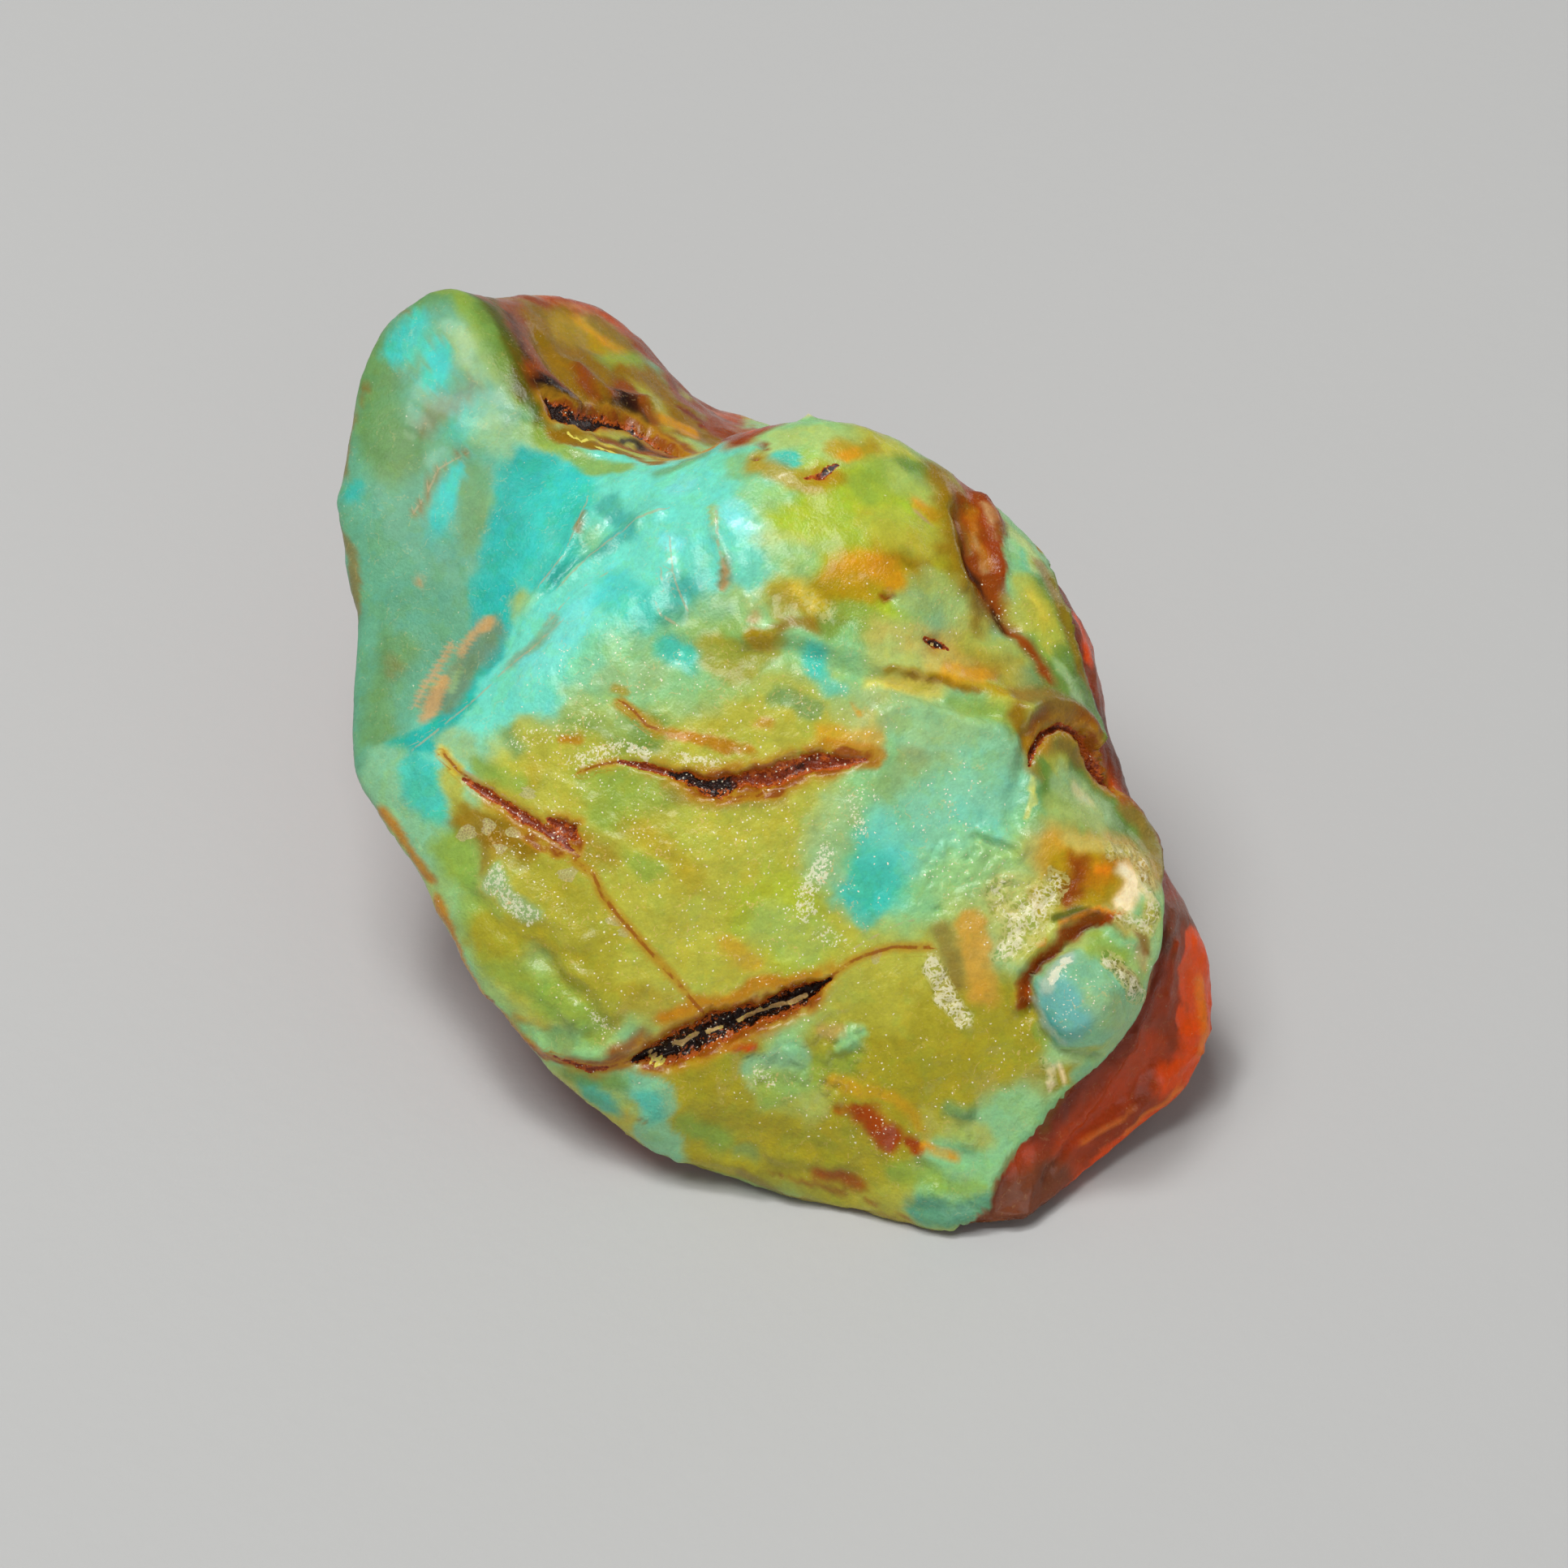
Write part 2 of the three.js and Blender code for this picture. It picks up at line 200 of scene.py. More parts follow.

# Stains of the rind, with some painted shade and painted highlight, painted in this order: colour, half
# width, softness, strength, route.
STAINS = (
    # broad grounds
    ("sea_green", 4.5, 2.0, 1.0, (-15.5, 33), (-15.5, 27), (-15.5, 20.5)),
    ("aqua", 2.6, 1.2, 1.0, (-4, 26.5), (-7, 24.5), (-9.5, 22), (-12.5, 19)),
    ("aqua", 1.8, 1.0, 1.0, (-9, 28), (-6, 28), (-3, 28)),
    ("mint", 2.2, 1.2, 0.9, (-6.5, 20.5), (-3.5, 21.5), (0, 21.5)),
    ("gold", 4.2, 1.6, 1.0, (-9, 12), (-5, 13.5), (-1.5, 13)),
    ("gold", 2.6, 1.2, 1.0, (-10, 16.5), (-6, 16.5), (-1, 18.5)),
    ("olive", 3.2, 1.4, 1.0, (-3.5, 4.6), (0.5, 4.2), (4, 7), (7, 7)),
    ("lime", 2.6, 1.2, 1.0, (1, 27), (2, 25), (5, 26.5)),
    ("mint", 3.0, 1.2, 1.0, (4.5, 17.5), (3.5, 14.5), (6, 16)),
    ("sage", 2.2, 1.0, 1.0, (9.5, 17), (11, 15.4), (9.5, 22.5)),
    ("pale_lime", 2.0, 1.0, 0.9, (7, 13), (8.5, 12)),
    ("mint", 0.9, 0.6, 0.7, (5.8, 13.7), (6.9, 13.4)),
    ("mint", 1.6, 0.8, 1.0, (7.4, 4.4), (5.5, 2)),
    # lobe: bands and patches of its smooth face
    ("sage", 1.1, 0.8, 0.7, (-16.2, 33), (-16, 30.5), (-15.3, 29)),
    ("sage", 0.7, 0.5, 0.6, (-14.3, 35.2), (-13, 35), (-12, 34.4)),
    ("turquoise", 0.6, 0.3, 0.85, (-15.3, 32.9), (-14.9, 33.5), (-14.6, 34.1)),
    ("pale_mint", 0.8, 0.5, 0.75, (-12.9, 33.3), (-11.9, 32.6), (-11.2, 31.7)),
    ("pale_mint", 0.9, 0.6, 0.75, (-12, 30.2), (-10.8, 29.6), (-9.6, 29.1)),
    ("turquoise", 0.8, 0.6, 0.5, (-12.6, 31.4), (-12.9, 30.2)),
    ("turquoise", 0.55, 0.12, 0.95, (-13.7, 33), (-13.9, 32.4), (-14, 31.8)),
    ("tan", 0.42, 0.3, 0.5, (-12.6, 31.9), (-13.6, 30.7), (-14.4, 30.1)),
    ("tan", 0.16, 0.12, 0.7, (-12.9, 29.1), (-13.7, 28.5), (-14.2, 27.8), (-14.7, 27)),
    ("sage", 0.6, 0.4, 0.5, (-12.2, 28.4), (-12.2, 27), (-12.6, 26)),
    ("turquoise", 0.52, 0.14, 0.9, (-13.1, 28.3), (-13.4, 27.5), (-13.8, 26.8)),
    ("lagoon", 0.5, 0.4, 0.6, (-13.9, 26.4), (-13.6, 25.4)),
    ("lagoon", 1.0, 0.35, 0.95, (-10.3, 28.6), (-10.6, 27.2), (-11.1, 25.8), (-11.7, 24.4)),
    ("turquoise", 1.2, 0.7, 0.9, (-9, 28), (-9.4, 26.4), (-10, 25)),
    ("lagoon", 0.7, 0.3, 0.95, (-12, 24), (-11.9, 22.8), (-12.4, 21.4), (-13.2, 20), (-14.2, 18.8),
     (-15.2, 18.2)),
    ("sea_green", 1.3, 0.8, 0.9, (-13.6, 24.6), (-14.3, 23)),
    ("tan", 0.7, 0.35, 0.55, (-12.2, 22.3), (-12.9, 21), (-13.8, 20)),
    ("salmon", 0.24, 0.12, 0.9, (-12, 22.9), (-12.6, 22.4), (-12.9, 22)),
    ("salmon", 0.12, 0.08, 0.9, (-13.4, 22), (-13.9, 21.2), (-14.4, 20.5), (-14.6, 20)),
    ("salmon", 0.3, 0.14, 0.9, (-13.7, 20.7), (-14, 20.1), (-14.2, 19.5)),
    ("pale_mint", 0.18, 0.1, 0.6, (-13, 21.2), (-13.4, 20.4)),
    ("sage", 0.8, 0.6, 0.55, (-15.4, 21.8), (-16, 20), (-16, 19)),
    ("tan", 0.3, 0.25, 0.45, (-15.6, 21.6), (-15.4, 21.2)),
    ("salmon", 0.14, 0.1, 0.75, (-14.5, 24.4), (-14.4, 24.1)),
    ("tan", 0.26, 0.16, 0.7, (-16.6, 31.6), (-17.1, 29.8), (-17.5, 28.4)),
    ("tan", 0.28, 0.16, 0.7, (-17.2, 26.6), (-17, 25.4), (-17.1, 22.8)),
    ("lagoon", 0.35, 0.25, 0.7, (-17, 28), (-16.9, 27.6)),
    ("tan", 0.22, 0.15, 0.6, (-15.2, 34.6), (-14.8, 34.4)),
    # rusty rim and steep brown wall of the hollow; the brown of the steep wall is partly painted shade
    ("rust_orange", 1.0, 0.4, 1.0, (-9.8, 34.9), (-8.6, 34.8), (-7.4, 34.5), (-6.4, 33.7), (-5.4, 32.9)),
    ("rust", 1.0, 0.5, 0.85, (-6.6, 33.8), (-5.4, 33), (-4.4, 32.3), (-3.4, 31.6), (-2.4, 30.9)),
    ("brown", 0.7, 0.3, 1.0, (-12.1, 35.1), (-11.6, 34.2), (-11.1, 33.3), (-10.6, 32.2), (-10.1, 31.2)),
    # olive edge over the hollow
    ("leaf", 0.55, 0.35, 0.85, (-13.4, 35.2), (-12.4, 34.2), (-11.6, 33), (-11, 31.8), (-10.7, 30.6)),
    ("moss", 0.3, 0.2, 0.9, (-12.6, 35.1), (-11.7, 33.9), (-10.8, 32.3), (-10.3, 31), (-9.9, 30)),
    ("leaf", 0.35, 0.22, 0.85, (-9.9, 29.9), (-9.2, 29.2), (-8, 28.7), (-7, 28.6)),
    # hollow: brown and golden wall, dark cleft, orange rim; the black-brown and brown in its depths are
    # partly painted shade
    ("dark_gold", 2.0, 0.8, 1.0, (-10.2, 34.4), (-9.2, 33), (-8.9, 32), (-7.5, 32.5), (-5.5, 30.8),
     (-4.2, 30.2)),
    ("dark_gold", 0.7, 0.4, 0.9, (-7.8, 33.9), (-6.9, 33.3), (-6.1, 32.8)),
    ("rust", 0.9, 0.4, 1.0, (-5.6, 32.9), (-4.8, 32.3), (-4, 31.7), (-3.2, 31.2), (-2.4, 30.7)),
    ("rust_orange", 0.5, 0.4, 0.6, (-3.8, 31.4), (-2.8, 31), (-2.2, 30.6)),
    ("rust", 0.6, 0.5, 0.8, (-5.4, 32.9), (-4.4, 32.1), (-3.4, 31.4), (-2.4, 30.7)),
    ("brown", 0.7, 0.4, 1.0, (-11.6, 34.9), (-11, 33.8), (-10.5, 32.6), (-9.9, 31.4)),
    ("umber", 0.25, 0.3, 0.7, (-11.2, 34.2), (-10.7, 33.1), (-10.2, 32.1), (-9.7, 31.3)),
    ("rust_orange", 0.5, 0.35, 0.8, (-10, 34.9), (-8.8, 34.8), (-7.8, 34.5), (-7, 34)),
    ("rust", 0.3, 0.3, 0.6, (-10.6, 34.9), (-9.2, 34.9), (-8, 34.6), (-7, 34.1)),
    ("salmon", 0.2, 0.25, 0.5, (-9.2, 34.7), (-8.3, 34.4)),
    ("rust", 0.45, 0.35, 0.95, (-11.2, 35), (-10.2, 34.8)),
    ("ochre", 0.7, 0.5, 0.8, (-9.2, 33.8), (-7.6, 33.3), (-7, 32.6)),
    ("honey", 0.3, 0.35, 0.7, (-8.6, 34), (-7.6, 33.5), (-7, 33)),
    ("leaf", 0.5, 0.35, 0.75, (-7.6, 32.5), (-6.5, 32.5)),
    ("brown", 0.4, 0.3, 0.92, (-8.6, 32), (-8.2, 31.3)),
    ("rust", 0.3, 0.2, 0.97, (-6.4, 33.1), (-5.7, 32.5), (-5.2, 31.7), (-4.8, 31)),
    ("maroon", 0.25, 0.18, 0.8, (-5.8, 32.8), (-5.3, 32.2), (-4.9, 31.5)),
    ("rust", 0.42, 0.2, 1.0, (-4.8, 31.1), (-3.8, 30.7), (-2.8, 30.2)),
    ("rust_orange", 0.22, 0.14, 1.0, (-3.8, 30.9), (-3, 30.5), (-2.4, 30.1)),
    ("maroon", 0.14, 0.1, 0.92, (-4.9, 30.8), (-4.1, 30.3), (-3.3, 29.9)),
    ("gold", 0.5, 0.35, 0.7, (-6.2, 31.4), (-5.6, 30.8), (-5.6, 30.3)),
    ("honey", 0.4, 0.25, 0.85, (-5.2, 30.3), (-4.5, 30), (-3.8, 29.6)),
    ("brown", 0.8, 0.5, 1.0, (-9.9, 31.9), (-8.9, 30.7), (-7.6, 30.5), (-6.2, 29.8), (-5, 29.2)),
    ("umber", 0.6, 0.4, 1.0, (-9.6, 31.4), (-8.9, 30.8), (-7.8, 30.5), (-6.8, 30.8)),
    ("brown", 0.45, 0.35, 0.9, (-7.4, 31.2), (-6.8, 31.5), (-6.3, 30.9), (-5.8, 30.4)),
    ("umber", 0.3, 0.25, 0.8, (-7.1, 31.2), (-6.6, 30.9), (-6.2, 30.4)),
    ("umber", 0.2, 0.15, 0.92, (-8.9, 29.7), (-8, 29.5), (-6.5, 29.6), (-5.3, 29.1)),
    ("sulphur", 0.14, 0.1, 0.85, (-9, 29.9), (-8.3, 29.6), (-7.5, 29.4), (-7, 29.1)),
    ("dark_gold", 0.25, 0.2, 0.9, (-9.2, 30.1), (-8.2, 29.9), (-7.2, 29.6)),
    ("dark_gold", 0.34, 0.15, 1.0, (-9.4, 29.9), (-8.2, 29.4), (-7, 29.1), (-5.8, 28.8)),
    ("brown", 0.24, 0.2, 0.9, (-7.8, 29.7), (-6.8, 29.4), (-5.8, 29.2)),
    ("gold", 0.1, 0.1, 0.7, (-8.6, 29.7), (-7.6, 29.5), (-6.8, 29.2)),
    ("umber", 0.4, 0.3, 1.0, (-9.5, 31.35), (-8.7, 31.1), (-7.9, 30.9), (-7.1, 30.7), (-6.5, 30.3)),
    ("brown", 0.3, 0.3, 0.9, (-5.9, 29.9), (-5, 29.4)),
    ("sage", 0.35, 0.3, 0.7, (-12.4, 34.6), (-11.8, 33.4), (-11.4, 32.4), (-11, 31.6)),
    ("moss", 0.28, 0.25, 0.85, (-12, 34.9), (-11.4, 33.9), (-10.9, 32.8), (-10.5, 31.6), (-10.2, 30.7)),
    ("sea_green", 0.6, 0.4, 0.8, (-11.8, 31.5), (-11.2, 30.6)),
    # crest: its palest blue stains are partly painted highlight along the ridges
    ("ice", 0.8, 0.6, 0.5, (-7.6, 24), (-9, 22.4), (-10.4, 21.2)),
    ("ice", 0.6, 0.35, 0.85, (-2.7, 27), (-2.3, 26), (-1.7, 25.2)),
    ("ice", 0.4, 0.3, 0.8, (-5, 27.9), (-4.6, 27.9)),
    ("ice", 0.3, 0.2, 0.8, (-5.6, 26), (-5.1, 25.8)),
    ("teal", 0.55, 0.4, 0.6, (-4.8, 24.4), (-4.7, 23.6), (-5.2, 23.2)),
    ("teal", 0.4, 0.25, 0.6, (-7.6, 27.3), (-6.6, 26.4), (-8, 25.6), (-9.4, 24.6)),
    ("turquoise", 0.8, 0.6, 0.55, (-7.4, 24), (-6.4, 23.2)),
    ("sage", 0.35, 0.25, 0.6, (-5.6, 28.4), (-4.8, 28.7), (-4, 29)),
    ("pale_mint", 0.2, 0.12, 0.9, (-3.4, 27), (-3.45, 26), (-3.3, 25)),
    ("tan", 0.26, 0.14, 0.85, (-3.1, 25.3), (-3.3, 24.8), (-3.5, 24.4)),
    ("salmon", 0.13, 0.1, 0.8, (-3.3, 24.7), (-3.5, 24.35)),
    ("tan", 0.16, 0.1, 0.8, (-8.3, 26.8), (-8.5, 26.3)),
    ("salmon", 0.12, 0.08, 0.6, (-9.6, 23), (-10.1, 22.5)),
    ("tan", 0.3, 0.3, 0.45, (-9.4, 22.9), (-10.4, 22), (-11.2, 21.3)),
    ("turquoise", 0.6, 0.35, 0.8, (-5.2, 22.1), (-4.6, 21.7)),
    ("pale_mint", 0.6, 0.4, 0.6, (-7.6, 21), (-5.8, 20.9)),
    # dome
    ("leaf", 0.9, 0.6, 0.6, (-3.4, 23), (-2.8, 22.4)),
    ("pale_lime", 0.9, 0.6, 0.9, (-1.6, 25.2), (-0.6, 25.8), (0.6, 26.6)),
    ("lime", 0.9, 0.6, 0.9, (-0.8, 27.2), (0.6, 26.6), (2, 27.2)),
    ("mint", 0.55, 0.4, 0.8, (-2.4, 27.8), (-1.3, 27.5), (-0.6, 28)),
    ("pale_lime", 0.7, 0.4, 0.8, (-1.2, 29.6), (0, 29.7), (0.8, 29.4)),
    ("turquoise", 0.3, 0.14, 0.8, (-1.2, 29), (-0.8, 28.8)),
    ("leaf", 0.6, 0.4, 0.6, (-2.8, 28.8), (-2.2, 28.6)),
    ("ochre", 0.45, 0.3, 0.85, (-2, 28.9), (-1.2, 28.2), (0, 28), (0.9, 28.2)),
    ("ochre", 0.4, 0.3, 0.8, (0.9, 29.5), (1.6, 29.4), (2.4, 29.2)),
    ("honey", 0.2, 0.14, 0.8, (1.1, 29), (1.6, 29.3)),
    ("white", 0.16, 0.1, 0.9, (-0.1, 30.6)),
    ("rust", 0.1, 0.08, 1.0, (-1.9, 29.4), (-1.65, 29.3)),
    ("rust", 0.08, 0.06, 0.92, (-2.1, 28.95), (-2, 28.9)),
    ("leaf", 0.8, 0.5, 0.7, (2, 28), (3, 28.2)),
    ("sage", 0.7, 0.4, 0.9, (3.9, 28.7), (4.6, 28.2)),
    ("sage_blue", 0.35, 0.3, 0.6, (4.3, 28.8), (4.8, 28.3)),
    ("ochre", 1.0, 0.9, 0.8, (1.2, 24.5), (2.6, 25.1), (4, 25.3)),
    ("dark_gold", 0.4, 0.5, 0.7, (2.4, 25.2), (3.6, 25.4), (4.4, 24.8)),
    ("honey", 0.7, 0.5, 0.7, (1.2, 24.6), (2, 25.1), (2.8, 24.8)),
    ("gold", 0.8, 0.5, 0.7, (2.5, 26.6), (4.4, 26)),
    ("honey", 0.3, 0.25, 0.7, (3.8, 27.5), (4.2, 27.2), (4.4, 26.9)),
    ("orange", 0.1, 0.12, 0.7, (3.8, 27.5), (4.3, 27.2)),
    ("salmon", 0.14, 0.1, 0.85, (3.9, 27), (4.3, 26.7)),
    ("ochre", 0.9, 0.5, 0.8, (-0.6, 23.7), (0.6, 23.7), (1.6, 24)),
    ("sulphur", 0.35, 0.3, 0.6, (-0.7, 24.3), (-0.2, 23.9), (0.2, 23.5)),
    ("dark_gold", 0.25, 0.2, 0.85, (-2.2, 22.6), (-1.6, 22.4), (-1.2, 22.6)),
    ("dark_gold", 0.3, 0.2, 0.8, (-0.9, 22.8), (0.1, 22.8), (0.9, 23.1)),
    ("cream", 0.3, 0.16, 0.9, (-2.3, 24), (-2.1, 23.3)),
    ("aqua", 0.7, 0.45, 0.9, (-2.9, 25.7), (-2.1, 24.8)),
    ("mint", 0.6, 0.5, 0.7, (-1.1, 25.2), (-0.5, 24.8)),
    ("mint", 0.5, 0.4, 0.6, (-2.6, 23.7), (-1.8, 23.4)),
    ("seafoam", 0.5, 0.4, 0.7, (-4.1, 23.6), (-3.4, 23.4)),
    ("pale_lime", 0.6, 0.4, 0.6, (3.2, 28.2), (4.2, 27.9)),
    ("salmon", 0.12, 0.1, 0.7, (-2.3, 23), (-2, 23.3)),
    ("leaf", 0.5, 0.3, 0.85, (0.8, 23), (1.8, 22.9), (2.9, 22.5)),
    ("sage", 0.4, 0.25, 0.6, (0.5, 22.8), (1.6, 22.4)),
    ("rust", 0.14, 0.1, 0.87, (2.6, 23.8), (3.1, 23.9)),
    ("pale_mint", 0.7, 0.5, 0.85, (3.8, 23.9), (4.6, 23.5), (5.4, 22.9)),
    ("pale_lime", 0.5, 0.4, 0.7, (4.4, 24.6), (5.6, 23.8)),
    ("mint", 0.4, 0.3, 0.7, (5, 22.6), (5.8, 22.3)),
    # ledge under the dome
    ("cream", 1.0, 0.7, 0.85, (3, 22), (4.6, 21.7), (5.6, 22)),
    ("pale_lime", 0.9, 0.6, 0.9, (1.6, 20.8), (2.6, 20.2)),
    ("mint", 0.7, 0.5, 0.45, (1.8, 20.8), (2.6, 20.3)),
    ("cream", 0.8, 0.6, 0.75, (2, 19.3), (3, 19.9), (4.2, 20.6)),
    ("gold", 0.9, 0.5, 0.8, (6.2, 22.4), (7.2, 21.6)),
    ("turquoise", 0.5, 0.35, 0.8, (0.2, 21.7), (0.5, 21.3)),
    ("mint", 0.6, 0.4, 0.8, (1.4, 22.2), (1.9, 21.2)),
    ("pale_lime", 0.5, 0.4, 0.8, (2.4, 21.9), (3.6, 21.6)),
    ("sulphur", 0.45, 0.45, 0.65, (2.3, 20.7), (3.2, 20.6), (4.4, 20.4)),
    ("ochre", 0.24, 0.16, 0.9, (2.9, 21.2), (4.2, 20.9), (5.6, 20.5), (7, 20.1)),
    ("dark_gold", 0.14, 0.1, 0.85, (3.4, 21), (4.8, 20.7), (6, 20.3)),
    ("honey", 0.4, 0.3, 0.65, (5, 21.1), (6.2, 20.8)),
    ("leaf", 0.4, 0.3, 0.7, (5.4, 19.9), (6.8, 19.5)),
    ("dark_gold", 0.8, 0.5, 0.4, (6.4, 21.4), (7.6, 20.8), (8.3, 20.3)),
    ("honey", 0.14, 0.1, 0.8, (1.5, 19.9), (1.7, 19.5)),
    ("sage_blue", 0.4, 0.3, 0.8, (-1.4, 20.2), (-0.6, 20.1), (0.2, 19.7)),
    ("turquoise", 0.4, 0.3, 0.6, (0.6, 20.9), (0.9, 20.5)),
    ("pale_mint", 0.5, 0.3, 0.7, (1.8, 20.2), (2.8, 19.9)),
    # valley, side lobe and right edge
    # the olive-brown and brown band down the valley is partly painted shade where the dome's right flank
    # falls away
    ("dark_gold", 0.9, 0.7, 0.9, (4.9, 28.2), (5.2, 27), (5.4, 25.8), (5.8, 24.6), (6.4, 23.6)),
    ("amber_brown", 0.8, 0.35, 1.0, (6.1, 27.6), (6.3, 26.6), (6.5, 25.6), (6.7, 24.8)),
    ("brown", 0.45, 0.5, 1.0, (5.5, 27.6), (5.8, 26.4), (6, 25.4), (6.4, 24.4), (6.9, 23.5)),
    ("tan", 0.14, 0.14, 0.7, (5.5, 27.2), (5.8, 26.4), (6.1, 25.6)),
    ("brick", 0.35, 0.4, 0.6, (6.1, 27.7), (6.7, 26.9), (7, 26.1), (6.9, 25.2)),
    ("amber", 0.22, 0.2, 0.7, (6, 27), (6.2, 26), (6.5, 25)),
    ("salmon", 0.14, 0.1, 0.7, (6.3, 27.2), (6.6, 26.4)),
    ("brown", 0.3, 0.2, 1.0, (6.5, 24.4), (6.9, 23.5), (7.4, 22.8)),
    ("mint", 0.42, 0.16, 0.95, (7.4, 25.8), (7.4, 25), (7.5, 24.2), (7.6, 23.8)),
    ("pale_lime", 0.35, 0.25, 0.85, (7.4, 26.2), (8, 25.6), (8.4, 24.8)),
    ("gold", 0.6, 0.4, 0.8, (8, 24), (8.7, 23.2), (9, 22.4)),
    ("sulphur", 0.2, 0.3, 0.5, (8.1, 23.9), (8.7, 23.2)),
    ("gold", 0.5, 0.35, 0.8, (7.5, 23.4), (8.3, 22.7), (8.8, 22)),
    ("leaf", 0.35, 0.25, 0.6, (8, 22.2), (8.6, 21.5)),
    ("pale_mint", 0.35, 0.25, 0.8, (9.3, 21.3), (9.7, 20.7), (9.9, 20)),
    ("sage", 0.4, 0.25, 0.8, (9.2, 21.9), (9.9, 21.1), (10.2, 19.8), (10.3, 19)),
    ("tan", 0.3, 0.25, 0.7, (7.2, 22.9), (7.8, 22.1), (8.3, 21.4), (9, 20.5)),
    ("brown", 0.13, 0.12, 1.0, (7.2, 22.9), (7.7, 22.2), (8.3, 21.4), (8.9, 20.6)),
    # darkest line of the painted shade down the valley
    ("umber", 0.14, 0.14, 0.75, (5.5, 26.4), (5.8, 25.4), (6.3, 24.4), (6.8, 23.5), (7.1, 22.8)),
    ("salmon", 0.1, 0.1, 0.6, (6.1, 26.6), (6.3, 25.7), (6.5, 24.8)),
    ("salmon", 0.1, 0.1, 0.4, (6.6, 26.8), (6.7, 25.9)),
    ("pale_lime", 0.5, 0.4, 0.7, (4.7, 24), (5.3, 23.3)),
    ("brown", 0.4, 0.3, 0.85, (8, 18.3), (8.3, 19), (8.9, 19.45), (9.7, 19.4), (10.3, 18.8)),
    ("tan", 0.5, 0.4, 0.8, (7.6, 20.2), (8.4, 20), (9.2, 19.6)),
    ("dark_gold", 0.3, 0.3, 0.7, (7.6, 19.6), (7.9, 18.8), (7.9, 18)),
    ("dark_gold", 0.3, 0.25, 0.8, (8.5, 25), (9.1, 23.8), (9.5, 22.6), (9.9, 21.4), (10.3, 20.4)),
    ("brown", 0.45, 0.25, 1.0, (10, 18.7), (10.4, 18.1), (10.9, 17.3), (11.6, 16.4)),
    ("tan", 0.45, 0.3, 0.8, (11.6, 16), (12.2, 15.2), (12.6, 14.4), (12.9, 13.6)),
    ("brown", 0.2, 0.16, 0.92, (11.8, 16.1), (12.4, 15.3), (12.8, 14.5), (13.1, 13.6)),
    # translucent face under the crescent
    ("dark_gold", 0.4, 0.3, 0.9, (7.4, 19.3), (7.9, 18.4), (8.1, 17.5)),
    ("leaf", 0.3, 0.2, 0.8, (7.2, 18.9), (7.6, 18), (7.6, 17)),
    ("gold", 0.4, 0.25, 0.8, (8.9, 18.2), (9.3, 17.8)),
    ("tan", 0.4, 0.35, 0.8, (8.8, 18.5), (9.4, 18.5), (9.9, 18)),
    ("pale_mint", 0.7, 0.4, 0.8, (9.3, 17.2), (9.9, 16.7), (10.6, 16)),
    ("white", 0.3, 0.28, 0.4, (9.7, 16.8), (10.2, 16.3)),
    ("sulphur", 0.15, 0.06, 1.0, (8.2, 17.2), (8.12, 16.7), (8.08, 16.2)),
    ("sulphur", 0.08, 0.05, 1.0, (8.08, 16.2), (8, 15.6)),
    ("pale_lime", 0.7, 0.5, 0.6, (9.3, 15.6), (10.4, 15.4)),
    ("pale_lime", 0.7, 0.5, 0.5, (9.3, 16.2), (10.4, 15.8)),
    # turquoise fields of the middle
    ("seafoam", 1.0, 0.6, 0.9, (3.6, 19), (5.2, 18.9), (6.6, 18)),
    ("pale_mint", 1.0, 0.7, 0.8, (4.4, 18), (5.4, 17.4)),
    ("aqua", 0.8, 0.8, 0.35, (3.8, 18.6), (5.6, 18.4), (6.4, 17)),
    ("pale_mint", 0.7, 0.6, 0.8, (3.8, 17.6), (5, 17.4)),
    ("seafoam", 1.0, 0.6, 0.9, (3, 16), (4.8, 16.2), (6.6, 16.4), (7.2, 17.6)),
    ("turquoise", 0.5, 0.4, 0.5, (5.6, 15.8), (6.6, 15.5)),
    ("turquoise", 1.2, 0.9, 0.85, (2.9, 14.8), (2.5, 13.8), (2.2, 13.1)),
    ("turquoise", 0.5, 0.35, 0.5, (2.2, 12.3), (2, 12)),
    ("tan", 0.5, 0.4, 0.35, (2.8, 17), (3.9, 17.7)),
    ("mint", 1.6, 1.0, 0.55, (2.2, 16.2), (3.8, 16), (5.4, 16), (6.8, 16)),
    ("ice", 1.3, 0.9, 0.32, (3.4, 15), (5.2, 15.8), (6.8, 16.2)),
    ("pale_lime", 0.8, 0.6, 0.45, (3.2, 19.2), (5.6, 19.1)),
    ("pale_mint", 0.9, 0.6, 0.8, (1, 16.1), (0.6, 15), (0.4, 14)),
    # centre
    ("lime", 1.2, 0.8, 0.65, (-2, 12.4), (-0.6, 12.6), (-0.4, 11.2)),
    ("pale_lime", 0.9, 0.6, 0.5, (-1.4, 11.8), (-0.2, 11.2)),
    ("leaf", 0.8, 0.6, 0.65, (-6.9, 16.9), (-5.8, 16.8)),
    ("leaf", 0.8, 0.5, 0.6, (-8, 16.9), (-7.2, 15.9)),
    ("leaf", 0.5, 0.35, 0.7, (-6.6, 14), (-6.2, 13.6)),
    ("ochre", 0.5, 0.4, 0.45, (-6.6, 15.6), (-4.4, 13.3)),
    ("sage", 0.7, 0.5, 0.8, (-8.6, 19.4), (-7.4, 18.8), (-6.2, 18.8)),
    ("pale_lime", 0.8, 0.6, 0.6, (-8.6, 19.8), (-7.6, 19.4)),
    ("olive", 0.8, 0.4, 0.8, (-3.4, 21.8), (-2.5, 21.6), (-2, 22)),
    ("ochre", 0.3, 0.2, 0.8, (-2.2, 22.5), (-1.8, 22.2)),
    ("ochre", 0.2, 0.15, 0.8, (-7.3, 20.5), (-7, 20.3)),
